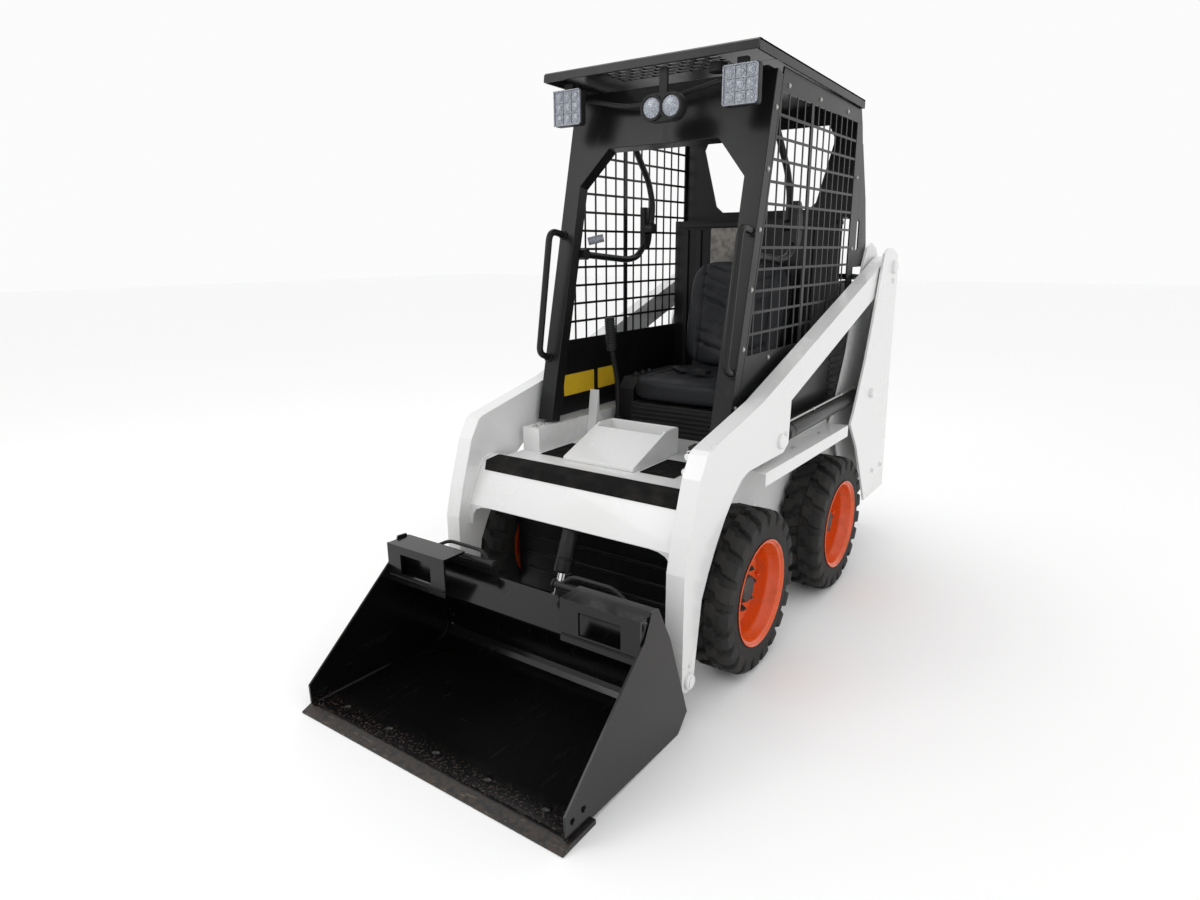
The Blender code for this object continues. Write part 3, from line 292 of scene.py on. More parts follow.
def tyre_rubber():
    """Dusty rubber: patches of brownish grey dust and a fine grain over the dark rubber."""
    c = colours()
    f = Finish("tyre_rubber", c.rubber, 0.75, specular=0.25)
    dust = f.noise(14, 5).above(0.38, 0.72)
    grain = f.noise(350, 3)
    f.drive("Base Color", f.mix(dust * 0.22 + grain * 0.06, c.rubber, (0.085, 0.078, 0.070)))
    f.drive("Roughness", dust * 0.18 + grain * 0.10 + 0.60)
    return f.bump(grain + f.noise(60, 3) * 1.5, 0.22, 0.0007)


def black_vinyl():
    """Grained black vinyl with a soft sheen."""
    f = Finish("black_vinyl", (0.013, 0.014, 0.017), 0.42, specular=0.3)
    grain = f.cells(620)
    rubbed = f.noise(7, 3).above(0.5, 0.75)
    f.drive("Base Color", f.mix(rubbed, (0.012, 0.013, 0.016), (0.026, 0.027, 0.031)))
    f.drive("Roughness", grain * 0.25 + rubbed * -0.08 + 0.36)
    return f.bump(grain, 0.35, 0.0006)


def black_plastic():
    """Moulded black plastic with a fine texture and dust on its flats."""
    f = Finish("black_plastic", (0.012, 0.012, 0.013), 0.5, specular=0.25)
    dust = f.facing_up().above(0.5, 1.0) * f.noise(30, 4).above(0.4, 0.75)
    f.drive("Base Color", f.mix(dust * 0.30, (0.016, 0.016, 0.017), (0.12, 0.105, 0.09)))
    f.drive("Roughness", f.noise(40, 3) * 0.15 + dust * 0.2 + 0.40)
    return f.bump(f.noise(700, 2), 0.2, 0.0005)


def grip_tape():
    """Coarse anti-slip covering: dense sharp grit with pale dust."""
    f = Finish("grip_tape", (0.008, 0.008, 0.008), 0.85, specular=0.15)
    grit = f.cells(900)
    dust = f.noise(18, 4).above(0.42, 0.75) * grit.above(0.1, 0.5)
    f.drive("Base Color", f.mix(dust * 0.35, (0.006, 0.006, 0.006), (0.055, 0.050, 0.043)))
    f.drive("Roughness", grit * 0.3 + 0.65)
    return f.bump(grit, 0.9, 0.0012)


def chrome():
    """Hard chrome with fine lengthwise polish and an oily haze."""
    f = Finish("chrome", (0.72, 0.72, 0.73), 0.10, metallic=1.0)
    haze = f.noise(12, 4).above(0.45, 0.8)
    f.drive("Roughness", haze * 0.16 + 0.07)
    f.drive("Base Color", f.mix(haze, (0.74, 0.74, 0.75), (0.56, 0.54, 0.50)))
    return f.bump(f.noise(600, 2, (1, 0.02, 1)), 0.04, 0.0003)


def worn_steel():
    """Blade steel under worn black paint: brown scale and bright rubbed edges."""
    f = Finish("worn_steel", (0.10, 0.085, 0.07), 0.45, metallic=0.5)
    scale = f.noise(70, 5).above(0.38, 0.62)
    bright = f.noise(160, 3, (0.15, 1, 1)).above(0.60, 0.70)
    front = 1 - f.axis("Y").above(-1.224, -1.180)
    paint = f.mix(scale * (front * 0.45 + 0.10), (0.008, 0.008, 0.008), (0.070, 0.046, 0.030))
    f.drive("Base Color", f.mix(bright * front * 0.45, paint, (0.30, 0.26, 0.21)))
    f.drive("Metallic", bright * front * 0.8 + 0.1)
    f.drive("Roughness", scale * 0.25 + 0.32)
    return f.bump(f.noise(240, 4), 0.4, 0.0008)


def lamp_grey():
    """Silvered lamp reflector."""
    f = Finish("lamp_grey", (0.40, 0.42, 0.46), 0.30, metallic=0.3)
    f.drive("Base Color", f.mix(f.cells(420).above(0.15, 0.6), (0.52, 0.54, 0.60), (0.20, 0.21, 0.24)))
    f.drive("Roughness", f.noise(90, 3) * 0.2 + 0.20)
    return f.bump(f.cells(420), 0.35, 0.0012)


def lens_clear():
    """Clear moulded lens over a light chip."""
    f = Finish("lens_clear", (0.50, 0.53, 0.58), 0.10, coat=0.6)
    f.drive("Base Color", f.mix(f.cells(240).above(0.1, 0.5), (0.58, 0.62, 0.70), (0.22, 0.24, 0.28)))
    return f.bump(f.cells(260), 0.5, 0.001)


def cast_iron():
    """Rough dark casting with oily dust."""
    f = Finish("cast_iron", (0.045, 0.043, 0.040), 0.62, metallic=0.3)
    grime = f.noise(20, 5).above(0.4, 0.7)
    f.drive("Base Color", f.mix(grime, (0.030, 0.029, 0.028), (0.085, 0.074, 0.062)))
    f.drive("Roughness", grime * 0.2 + 0.5)
    return f.bump(f.noise(260, 4), 0.5, 0.001)


def zinc():
    """Zinc-plated bolts."""
    f = Finish("zinc", (0.50, 0.50, 0.48), 0.32, metallic=0.9)
    f.drive("Roughness", f.noise(120, 3) * 0.25 + 0.22)
    return f.bump(f.noise(400, 2), 0.1, 0.0004)


def yellow_plate():
    """Blank yellow plate, slightly faded."""
    f = Finish("yellow_plate", (0.80, 0.50, 0.02), 0.4)
    f.drive("Base Color", f.mix(f.noise(30, 4), (0.88, 0.58, 0.02), (0.76, 0.47, 0.03)))
    return f.bump(f.noise(200, 2), 0.05, 0.0003)


def grey_plate():
    """Blank weathered grey plate."""
    f = Finish("grey_plate", (0.36, 0.35, 0.33), 0.5)
    f.drive("Base Color", f.mix(f.noise(45, 5).above(0.4, 0.7), (0.30, 0.28, 0.25), (0.16, 0.15, 0.14)))
    return f.bump(f.noise(200, 2), 0.1, 0.0003)


def red_lens():
    """Red tail lens with moulded prisms."""
    f = Finish("red_lens", (0.45, 0.01, 0.01), 0.12, coat=1.0)
    f.drive("Base Color", f.mix(f.cells(200), (0.50, 0.012, 0.012), (0.28, 0.006, 0.006)))
    return f.bump(f.cells(220), 0.5, 0.001)


FINISHES = {}


def make_finishes():
    makers = (
        white_paint, black_paint, bucket_black, orange_paint, tyre_rubber, black_vinyl, black_plastic,
        grip_tape,
        chrome, worn_steel, lamp_grey, lens_clear, cast_iron, zinc, yellow_plate, grey_plate, red_lens,
    )
    for maker in makers:
        FINISHES[maker.__name__] = maker().material


# ---------------------------------------------------------------- shapes: (points, faces)
def grid(points, around_u=False, around_v=False):
    """A surface from an array of points indexed [u, v], closed round either way."""
    rows, columns = points.shape[:2]
    index = np.arange(rows * columns).reshape(rows, columns)
    if around_u:
        index = np.vstack([index, index[:1]])
    if around_v:
        index = np.hstack([index, index[:, :1]])
    corners = (index[:-1, :-1], index[1:, :-1], index[1:, 1:], index[:-1, 1:])
    faces = np.stack([c.ravel() for c in corners], axis=1)
    return points.reshape(-1, 3), [tuple(face) for face in faces.tolist()]


def outwards(shape):
    """Turns a closed shape's faces outwards: the volume under its faces must be positive."""
    points, faces = shape
    volume = 0.0
    for size in {len(face) for face in faces}:
        group = np.array([face for face in faces if len(face) == size])
        first = points[group[:, 0]]
        for k in range(1, size - 1):
            volume += np.einsum("ij,ij->", first, np.cross(points[group[:, k]], points[group[:, k + 1]]))
    return (points, [face[::-1] for face in faces]) if volume < 0 else shape


PLANES = {"YZ": (1, 2, 0), "XZ": (0, 2, 1), "XY": (0, 1, 2)}


def prism(outline, plane, low, high):
    """A flat outline given thickness: both ends are one face, joined by a wall."""
    a, b, across = PLANES[plane]
    count = len(outline)
    points = np.zeros((2 * count, 3))
    points[:, a] = np.tile([p[0] for p in outline], 2)
    points[:, b] = np.tile([p[1] for p in outline], 2)
    points[:count, across] = low
    points[count:, across] = high
    faces = [tuple(range(count)), tuple(range(2 * count - 1, count - 1, -1))]
    faces += [((i + 1) % count, i, i + count, (i + 1) % count + count) for i in range(count)]
    return outwards((points, faces))


def box(low, high):
    outline = [(low[0], low[1]), (high[0], low[1]), (high[0], high[1]), (low[0], high[1])]
    return prism(outline, "XY", low[2], high[2])


def basis(direction):
    """Two unit vectors across a direction."""
    w = np.array(direction, float)
    w /= np.linalg.norm(w)
    helper = np.array([1.0, 0, 0]) if abs(w[0]) < 0.8 else np.array([0, 1.0, 0])
    u = np.cross(helper, w)
    u /= np.linalg.norm(u)
    return u, np.cross(w, u), w


def turned(profile, centre, direction, steps=32):
    """A closed profile of (radius, height) turned about a line through centre: centre + h w + r (u cos t + v sin t)."""
    u, v, w = basis(direction)
    profile = np.array(profile, float)
    angle = np.linspace(0, 2 * math.pi, steps, endpoint=False)
    ring = np.cos(angle)[:, None] * u + np.sin(angle)[:, None] * v
    radius, height = profile[:, 0], profile[:, 1]
    points = np.array(centre) + radius[None, :, None] * ring[:, None, :] + height[None, :, None] * w
    return outwards(grid(points, True, True))


def lump(profile, centre, direction, steps=24):
    """Turned solid without a bore: the profile runs from axis to axis and its ends are closed by fans."""
    u, v, w = basis(direction)
    angle = np.linspace(0, 2 * math.pi, steps, endpoint=False)
    ring = np.cos(angle)[:, None] * u + np.sin(angle)[:, None] * v
    inner = np.array(profile[1:-1], float)
    points = np.array(centre) + inner[None, :, 0, None] * ring[:, None, :] + inner[None, :, 1, None] * w
    points, faces = grid(points, True, False)
    ends = np.array(centre) + np.outer([profile[0][1], profile[-1][1]], w)
    count, last = len(points), len(inner) - 1
    rim = [i * len(inner) for i in range(steps)]
    faces += [(count, rim[(i + 1) % steps], rim[i]) for i in range(steps)]
    faces += [(count + 1, rim[i] + last, rim[(i + 1) % steps] + last) for i in range(steps)]
    return outwards((np.vstack([points, ends]), faces))


def drum(start, end, radius, steps=24, edge=0.001):
    """A cylinder with a small rounding at both ends."""
    start, end = np.array(start, float), np.array(end, float)
    length = np.linalg.norm(end - start)
    profile = [
        (0, 0), (radius - edge, 0), (radius, edge), (radius, length - edge), (radius - edge, length),
        (0, length)
    ]
    return lump(profile, start, end - start, steps)


def rounded(path, radius, steps=6):
    """A path whose corners are replaced by curves that start a radius before each corner and end a radius after."""
    path = np.array(path, float)
    out = [path[0]]
    for before, corner, after in zip(path[:-2], path[1:-1], path[2:]):
        back, ahead = before - corner, after - corner
        reach = min(radius, 0.49 * np.linalg.norm(back), 0.49 * np.linalg.norm(ahead))
        start = corner + back / np.linalg.norm(back) * reach
        end = corner + ahead / np.linalg.norm(ahead) * reach
        t = np.linspace(0, 1, steps + 1)[:, None]
        out.extend((1 - t) ** 2 * start + 2 * t * (1 - t) * corner + t**2 * end)
    out.append(path[-1])
    return np.array(out)


def tube(path, radius, sides=16):
    """A circle carried along a path. The radius is one number, or one for each point. Both ends are flat."""
    path = np.array(path, float)
    radius = np.broadcast_to(radius, len(path))
    tangent = np.gradient(path, axis=0)
    tangent /= np.linalg.norm(tangent, axis=1)[:, None]
    u = basis(tangent[0])[0]
    rings = []
    angle = np.linspace(0, 2 * math.pi, sides, endpoint=False)[:, None]
    for centre, along, size in zip(path, tangent, radius):
        u = u - along * (u @ along)
        u /= np.linalg.norm(u)
        v = np.cross(along, u)
        rings.append(centre + size * (np.cos(angle) * u + np.sin(angle) * v))
    points, faces = grid(np.array(rings), False, True)
    last = (len(path) - 1) * sides
    faces += [tuple(range(sides)), tuple(range(last + sides - 1, last - 1, -1))]
    return outwards((points, faces))


def bead(path, radius=0.003, pitch=0.005):
    """A weld bead: a thin tube whose radius ripples along its length."""
    path = np.array(path, float)
    step = np.linalg.norm(np.diff(path, axis=0), axis=1)
    length = np.concatenate([[0], np.cumsum(step)])
    count = max(8, int(length[-1] / pitch * 4))
    at = np.linspace(0, length[-1], count)
    dense = np.stack([np.interp(at, length, path[:, k]) for k in range(3)], axis=1)
    return tube(dense, radius * (1 + 0.22 * np.sin(2 * math.pi * at / pitch)), 8)


def hexagon(at, direction, radius, height, washer=True):
    """A bolt head: a chamfered hexagon on a round washer."""
    low = 0.0015 if washer else 0.0
    profile = [(0, low), (radius, low), (radius, height * 0.8), (radius * 0.86, height), (0, height)]
    shapes = [lump(profile, at, direction, 6)]
    if washer:
        shapes.append(
            lump(
                [(0, -0.0005), (radius * 1.35, -0.0005), (radius * 1.35, 0.0018), (0, 0.0018)], at,
                direction, 16
            )
        )
    return shapes


def pillow(half, centre, square=0.42, crown=0.55, steps=(56, 72), channels=None, turn=0.0):
    """A superellipsoid: cos and sin are raised to small powers, so its sides stay full. Channels press its top in.

    channels is a function of the flat coordinates that gives a depth; turn leans the pillow about X, in degrees.
    """
    def power(value, exponent):
        return np.sign(value) * np.abs(value) ** exponent

    eta = np.linspace(-math.pi / 2, math.pi / 2, steps[0])[:, None]
    omega = np.linspace(-math.pi, math.pi, steps[1], endpoint=False)[None, :]
    x = half[0] * power(np.cos(eta), crown) * power(np.cos(omega), square)
    y = half[1] * power(np.cos(eta), crown) * power(np.sin(omega), square)
    z = half[2] * power(np.sin(eta), crown) * np.ones_like(omega)
    if channels is not None:
        upper = np.clip(z / half[2], 0, 1)
        z = z - channels(x, y) * upper
    angle = math.radians(turn)
    points = np.stack(
        [x, y * math.cos(angle) - z * math.sin(angle), y * math.sin(angle) + z * math.cos(angle)], axis=2
    )
    points = points + np.array(centre)
    inner = points[1:-1]
    made, faces = grid(inner, False, True)
    columns = steps[1]
    poles = np.array([points[0].mean(axis=0), points[-1].mean(axis=0)])
    count, last = len(made), (len(inner) - 1) * columns
    faces += [(count, (i + 1) % columns, i) for i in range(columns)]
    faces += [(count + 1, last + i, last + (i + 1) % columns) for i in range(columns)]
    return outwards((np.vstack([made, poles]), faces))


def piece(name, shapes, body, look, replaces=(), bevel=0.0, sharp=35):
    """Joins shapes into one object that rides on a body, with its finish and slot."""
    points, faces, start = [], [], 0
    for shape_points, shape_faces in shapes:
        points.append(shape_points)
        faces += [tuple(i + start for i in face) for face in shape_faces]
        start += len(shape_points)
    mesh = bpy.data.meshes.new(name)
    mesh.from_pydata(np.vstack(points).tolist(), [], faces)
    mesh.validate()
    mesh.shade_smooth()
    mesh.set_sharp_from_angle(angle=math.radians(sharp))
    mesh.materials.append(FINISHES[look])
    made = bpy.data.objects.new(name, mesh)
    bpy.context.scene.collection.objects.link(made)
    if bevel:
        round_edges(made, bevel)
    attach(made, body)
    if replaces:
        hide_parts(*replaces)
    return made


def round_edges(made, width, segments=2):
    step = made.modifiers.new("round_edges", "BEVEL")
    step.width = width
    step.segments = segments
    step.limit_method = "ANGLE"
    step.angle_limit = math.radians(32)
    step.harden_normals = True


def post_y(z):
    """Front face of the leaning front posts at a height."""
    return POST_FOOT[0] + (z - POST_FOOT[1]) * POST_LEAN


def roof_z(y):
    """Underside of the roof at a distance along the machine."""
    return 1.784 - 0.024 * (y + 0.195) / 0.962


# ---------------------------------------------------------------- frame nodes that stay
ROUNDED_NODES = (
    "lift_arm_left", "lift_arm_right", "arm_cross_member", "tower_left", "tower_right", "fender_left",
    "fender_right", "main_frame", "cab_front_frame", "foot_tray", "upright_bracket", "rear_door",
    "engine_cover",
    "console_left", "console_right", "seat_base", "bucket_shell", "coupler_frame", "cutting_edge",
    "cab_floor",
)


def dress_frame():
    """Gives every node of the frame its finish, and rounds the edges of the plates."""
    for name, node in NODES.items():
        node.data.materials.clear()
        node.data.materials.append(FINISHES[SLOTS[name]])
    for name in ROUNDED_NODES:
        node = NODES[name]
        weld = node.modifiers.new("weld", "WELD")
        weld.merge_threshold = 0.00002
        flat = node.modifiers.new("flatten", "DECIMATE")
        flat.decimate_type = "DISSOLVE"
        flat.angle_limit = math.radians(0.5)
        thin = name in ("cutting_edge", "cab_floor")
        round_edges(node, 0.0012 if thin else sizes().edge)


# ---------------------------------------------------------------- wheels
def smoothstep(value, low, high):
    t = np.clip((value - low) / (high - low), 0, 1)
    return t * t * (3 - 2 * t)


def tyre(centre, inner, side, radius, width):
    """Tyre surface r(t, s): a carcass section turned round the axle, raised by lugs.

    A lug is a slanted band with a step in it: it stands where the fraction of (N t / 2 pi - slant s - step) is
    inside a window. The two halves are half a pitch apart, the lugs fade out down the shoulders, and two thin
    rings stand on each sidewall.
    """
    s = sizes()
    depth = s.lug_depth
    carcass = np.array(  # (radius, distance from the inner sidewall) of one half
        [(0.157, 0.014), (0.160, 0.006), (0.170, 0.003), (0.186, 0.0022), (0.206, 0.0030), (0.222, 0.0070),
         (0.2345, 0.0150), (0.2400, 0.0280), (0.2415, 0.0480), (radius - depth, width / 2)]
    )
    half = carcass[::-1].copy()
    half[:, 1] = width - half[:, 1]
    section = np.vstack([carcass, half[1:]])
    length = np.concatenate([[0], np.cumsum(np.linalg.norm(np.diff(section, axis=0), axis=1))])
    across_steps, around_steps = 76, 456
    at = np.linspace(0, length[-1], across_steps)
    ring_r = np.interp(at, length, section[:, 0])
    ring_h = np.interp(at, length, section[:, 1])
    kernel = np.array([0.25, 0.5, 0.25])
    for _ in range(2):
        ring_r[1:-1] = np.convolve(ring_r, kernel, "valid")
        ring_h[1:-1] = np.convolve(ring_h, kernel, "valid")
    slope_r, slope_h = np.gradient(ring_r), np.gradient(ring_h)
    size = np.hypot(slope_r, slope_h)
    normal_r, normal_h = slope_h / size, -slope_r / size
    t = np.linspace(0, 2 * math.pi, around_steps, endpoint=False)[:, None]
    u = ((ring_h - width / 2) / (width / 2))[None, :]
    outer = np.abs(u)
    kink = 0.20 * smoothstep(outer, 0.34, 0.50)
    phase = s.lug_count * t / (2 * math.pi) + np.where(u > 0, 0.5, 0.0) - 0.30 * outer - kink
    saw = np.abs((phase % 1.0) - 0.5) * 2
    window = smoothstep(0.56 + 0.10 * smoothstep(outer, 0.4, 0.8) - saw, -0.06, 0.06)
    middle = smoothstep(outer, 0.02, 0.09)
    fade = smoothstep(ring_r, 0.200, 0.226)[None, :]
    height = depth * window * middle * fade
    height = np.maximum(height, 0.0035 * smoothstep(0.05 - outer, 0, 0.02) * np.ones_like(t))
    rings = sum(
        depth * np.exp(-(((ring_r - at) / 0.0016) ** 2)) for at, depth in ((0.2035, 0.0022), (0.177, 0.0012))
    )
    height = np.maximum(height, rings[None, :])
    r = np.minimum(ring_r[None, :] + height * normal_r[None, :], radius)
    h = np.clip(ring_h[None, :] + height * normal_h[None, :] * 0.8, 0.0004, width - 0.0004)
    x = side * (inner + h)
    points = np.stack([x, centre[1] + r * np.cos(t), centre[2] + r * np.sin(t)], axis=2)
    return outwards(grid(points, True, True))


def rim(centre, inner, side, width):
    """Deep-dish rim: lip, bead seat, stepped barrel, and a disc with a raised ring for the nuts."""
    profile = [
        (0.1655, width - 0.0015), (0.1650, width + 0.0004), (0.1625, width + 0.0008),
        (0.1600, width - 0.0010),
        (0.1575, width - 0.0060), (0.1520, width - 0.0085), (0.1495, width - 0.0140),
        (0.1488, width - 0.0320),
        (0.1430, width - 0.0400), (0.1408, width - 0.0520), (0.1400, 0.0720), (0.1375, 0.0645),
        (0.1320, 0.0610),
        (0.1220, 0.0625), (0.1080, 0.0735), (0.1010, 0.0785), (0.0950, 0.0800), (0.0540, 0.0800),
        (0.0500, 0.0770),
        (0.0205, 0.0770), (0.0205, 0.0480), (0.0900, 0.0480), (0.1320, 0.0500), (0.1430, 0.0420),
        (0.1490, 0.0300),
        (0.1495, 0.0060), (0.1555, 0.0060), (0.1555, width - 0.0120),
    ]
    placed = [(radius, side * height) for radius, height in profile]
    shapes = [turned(placed, (side * inner, centre[1], centre[2]), (1, 0, 0), 96)]
    valve = np.array([side * (inner + 0.061), centre[1] + 0.130, centre[2]])
    shapes.append(drum(valve, valve + np.array([side * 0.024, -0.012, 0]), 0.0045, 12))
    return shapes


def hub(centre, inner, side):
    """Dark hub with a stepped cap in the middle of the disc."""
    profile = [(0, 0.0775), (0.0495, 0.0775), (0.0500, 0.0850), (0.0450, 0.0885), (0.0415, 0.1010)]
    profile += [(0.0385, 0.1045), (0.0200, 0.1060), (0, 0.1062)]
    return [lump(profile, (side * inner, centre[1], centre[2]), (side, 0, 0), 48)]


def wheel_nuts(centre, inner, side):
    """Cone nuts on studs, evenly round a circle."""
    s = sizes()
    shapes = []
    for i in range(s.nut_count):
        angle = 2 * math.pi * i / s.nut_count
        y = centre[1] + s.nut_circle * math.cos(angle)
        z = centre[2] + s.nut_circle * math.sin(angle)
        at = (side * (inner + 0.0798), y, z)
        shapes += hexagon(at, (side, 0, 0), 0.0098, 0.0115)
        shapes.append(drum(at, (side * (inner + 0.0980), y, z), 0.0050, 12))
    return shapes


def make_wheels():
    for end in ("front", "rear"):
        for word, side in SIDES:
            name = f"{end}_{word}"
            low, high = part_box(name + "_tyre")
            centre = JOINTS[name + "_wheel"]["pos_m"]
            inner = min(abs(low.x), abs(high.x))
            radius, width = (high.z - low.z) / 2, high.x - low.x
            body = name + "_wheel"
            piece(name + "_tread", [tyre(centre, inner, side, radius, width)], body, "tyre_rubber",
                  [name + "_tyre"], sharp=28)
            piece(name + "_dish", rim(centre, inner, side, width), body, "orange_paint",
                  [name + "_rim"])
            piece(name + "_hub", hub(centre, inner, side), body, "cast_iron")
            piece(name + "_nuts", wheel_nuts(centre, inner, side), body, "cast_iron")


# ---------------------------------------------------------------- cab
SCREEN_REAR = 0.731
SCREEN_DIVIDER = 0.270


def side_screen(side):
    """Side panel of the cab: plates round the opening, and bars that cross in it."""
    low_x, high_x = side * 0.3562, side * 0.3618
    wire = sizes().wire
    edge = POST_BACK + 0.0008
    foot, top = 0.6806, roof_z(post_y(1.78) + edge) - 0.001
    strip = 0.011

    def front(z):
        return post_y(z) + edge

    plates = [
        [(front(foot), foot), (0.780, foot), (0.791, SCREEN_LOW), (front(SCREEN_LOW), SCREEN_LOW)],
        [(front(SCREEN_LOW), SCREEN_LOW), (front(SCREEN_LOW) + strip, SCREEN_LOW),
         (front(SCREEN_HIGH) + strip, SCREEN_HIGH), (front(SCREEN_HIGH), SCREEN_HIGH)],
        [(front(SCREEN_HIGH), SCREEN_HIGH), (0.790, SCREEN_HIGH), (0.767, roof_z(0.767) - 0.001), (front(top), top)],
        [(SCREEN_REAR, SCREEN_LOW), (0.791, SCREEN_LOW), (0.800, 1.190), (0.814, 1.190), (0.814, 1.449),
         (0.814, SCREEN_HIGH - 0.08), (0.790, SCREEN_HIGH), (SCREEN_REAR, SCREEN_HIGH)],
        [(0.8139, 1.190), (0.930, 1.190), (0.947, 1.275), (0.843, 1.275), (0.843, 1.260), (0.827, 1.250),
         (0.8139, 1.256)],
        [(0.8139, 1.364), (0.827, 1.370), (0.843, 1.360), (0.843, 1.275), (0.947, 1.275), (0.897, 1.449),
         (0.8139, 1.645)],
        [(SCREEN_DIVIDER - 0.011, SCREEN_LOW), (SCREEN_DIVIDER + 0.011, SCREEN_LOW),
         (SCREEN_DIVIDER + 0.011, SCREEN_HIGH), (SCREEN_DIVIDER - 0.011, SCREEN_HIGH)],
    ]
    shapes = [prism(outline, "YZ", low_x, high_x) for outline in plates]
    thin_low, thin_high = side * 0.3575, side * 0.3608
    z = SCREEN_LOW + sizes().screen_pitch
    while z < SCREEN_HIGH - 0.02:
        outline = [(front(z) + 0.006, z - wire / 2), (SCREEN_REAR + 0.004, z - wire / 2)]
        outline += [(SCREEN_REAR + 0.004, z + wire / 2), (front(z) + 0.006, z + wire / 2)]
        shapes.append(prism(outline, "YZ", thin_low, thin_high))
        z += sizes().screen_pitch
    front_columns = SCREEN_DIVIDER - 0.0655 * np.arange(1, 7)
    rear_columns = SCREEN_DIVIDER + (SCREEN_REAR - SCREEN_DIVIDER) / 8 * np.arange(1, 8)
    for y in (*front_columns, *rear_columns):
        reach = POST_FOOT[1] + (y - edge - POST_FOOT[0]) / POST_LEAN
        high = min(SCREEN_HIGH + 0.003, reach)
        outline = [(y - wire / 2, SCREEN_LOW - 0.003), (y + wire / 2, SCREEN_LOW - 0.003)]
        outline += [(y + wire / 2, high), (y - wire / 2, high)]
        shapes.append(prism(outline, "YZ", thin_low * 1.0003, thin_high * 0.9997))
    return shapes


def cab_bolts(side):
    """Bolts that hold the screens, along the post, the sill and the rear strip."""
    shapes = []
    out = (side, 0, 0)
    x = side * 0.3618
    for z in np.linspace(0.80, 1.66, 6):
        y = post_y(z) + POST_BACK * 0.55
        shapes += hexagon((x, y, z), out, 0.0055, 0.0048)
    for y in (0.0, 0.27, 0.55):
        shapes += hexagon((x, y, SCREEN_LOW - 0.020), out, 0.0055, 0.0048)
        shapes += hexagon((x, y + 0.06, SCREEN_HIGH + 0.022), out, 0.0055, 0.0048)
    for z in (1.02, 1.26, 1.52):
        shapes += hexagon((x, 0.766, z), out, 0.0055, 0.0048)
    return shapes


def roof():
    """Roof: plates round a slotted field, a turned-down lip all round, staggered slots over the operator."""
    half, field_x, field_low, field_high = 0.372, 0.205, -0.162, 0.024
    front, rear, thick = -0.195, 0.767, 0.0065

    def plate(x_low, x_high, y_low, y_high, down=0.0):
        outline = [(y_low, roof_z(y_low) + 0.0235 - down), (y_high, roof_z(y_high) + 0.0235 - down)]
        outline += [(y_high, roof_z(y_high) + 0.0235 + thick), (y_low, roof_z(y_low) + 0.0235 + thick)]
        return prism(outline, "YZ", x_low, x_high)

    shapes = [
        plate(-half, half, front + 0.012, field_low),
        plate(-half, half, field_high, rear),
        plate(-half, -field_x, field_low, field_high),
        plate(field_x, half, field_low, field_high),
        plate(-half, -half + 0.006, front + 0.010, rear, 0.0232),
        plate(half - 0.006, half, front + 0.010, rear, 0.0232),
        plate(-half, half, rear - 0.006, rear, 0.0232),
    ]
    lip = [
        (front, roof_z(front) + 0.001), (front + 0.006, roof_z(front) + 0.001),
        (front + 0.010, roof_z(front) + 0.022)
    ]
    lip += [(front + 0.030, roof_z(front) + 0.0235), (front + 0.030, roof_z(front) + 0.030)]
    lip += [(front + 0.012, roof_z(front) + 0.030), (front + 0.003, roof_z(front) + 0.024)]
    shapes.append(prism(lip, "YZ", -half, half))
    pitch, web = 0.0310, 0.0085
    rows = int((field_high - field_low) / pitch)
    columns = 9
    slot = 2 * field_x / columns
    for row in range(rows + 1):
        y = field_low + row * pitch
        shapes.append(plate(-field_x - 0.002, field_x + 0.002, y - web / 2, y + web / 2))
        shift = 0.5 if row % 2 else 0.0
        for column in range(columns):
            x = -field_x + (column + shift) * slot
            if row < rows:
                shapes.append(plate(x - web / 2, x + web / 2, y, y + pitch))
    return shapes


def roof_underside():
    """Stiffeners under the roof, a round speaker and a bundle of wiring along the header."""
    shapes = []
    for side in (-1, 1):
        x = side * 0.315
        z_front, z_rear = roof_z(-0.05) - 0.001, roof_z(0.72) - 0.001
        outline = [(-0.02, z_front - 0.022), (0.72, z_rear - 0.022), (0.72, z_rear), (-0.02, z_front)]
        shapes.append(prism(outline, "YZ", x - 0.012, x + 0.012))
    shapes.append(
        drum((0.215, -0.118, roof_z(-0.118) - 0.026), (0.215, -0.118, roof_z(-0.118) - 0.001), 0.027, 32)
    )
    wiring = [
        (-0.30, -0.105, 1.742), (-0.12, -0.075, 1.700), (0.04, -0.080, 1.712), (0.18, -0.090, 1.735),
        (0.30, -0.110, 1.745)
    ]
    shapes.append(tube(rounded(wiring, 0.06, 8), 0.0075, 12))
    return shapes


def work_light(side):
    """Square work lamp: housing with cooling ribs behind, and a bracket to the roof."""
    low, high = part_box("work_light_left")
    x = side * (low.x + high.x) / 2
    half, z_low, z_high = 0.055, 1.653, 1.764
    shapes = [
        prism(
            rounded_rectangle(x, (z_low + z_high) / 2, half, (z_high - z_low) / 2, 0.010), "XZ", -0.156,
            -0.132
        )
    ]
    for i in range(6):
        at = x - half * 0.8 + i * half * 0.32
        shapes.append(box((at - 0.0018, -0.133, z_low + 0.010), (at + 0.0018, -0.119, z_high - 0.010)))
    shapes.append(box((x - 0.016, -0.150, z_high - 0.004), (x + 0.016, -0.131, roof_z(-0.13) - 0.001)))
    return shapes


def rounded_rectangle(a, b, half_a, half_b, radius, steps=5):
    """Corners of a rectangle replaced by arcs, in a plane."""
    turn = np.linspace(0, math.pi / 2, steps)
    out = []
    for quarter, (sa, sb) in enumerate(((1, 1), (-1, 1), (-1, -1), (1, -1))):
        ca, cb = a + sa * (half_a - radius), b + sb * (half_b - radius)
        angle = turn + quarter * math.pi / 2
        out += [(ca + radius * math.cos(t), cb + radius * math.sin(t)) for t in angle]
    return out


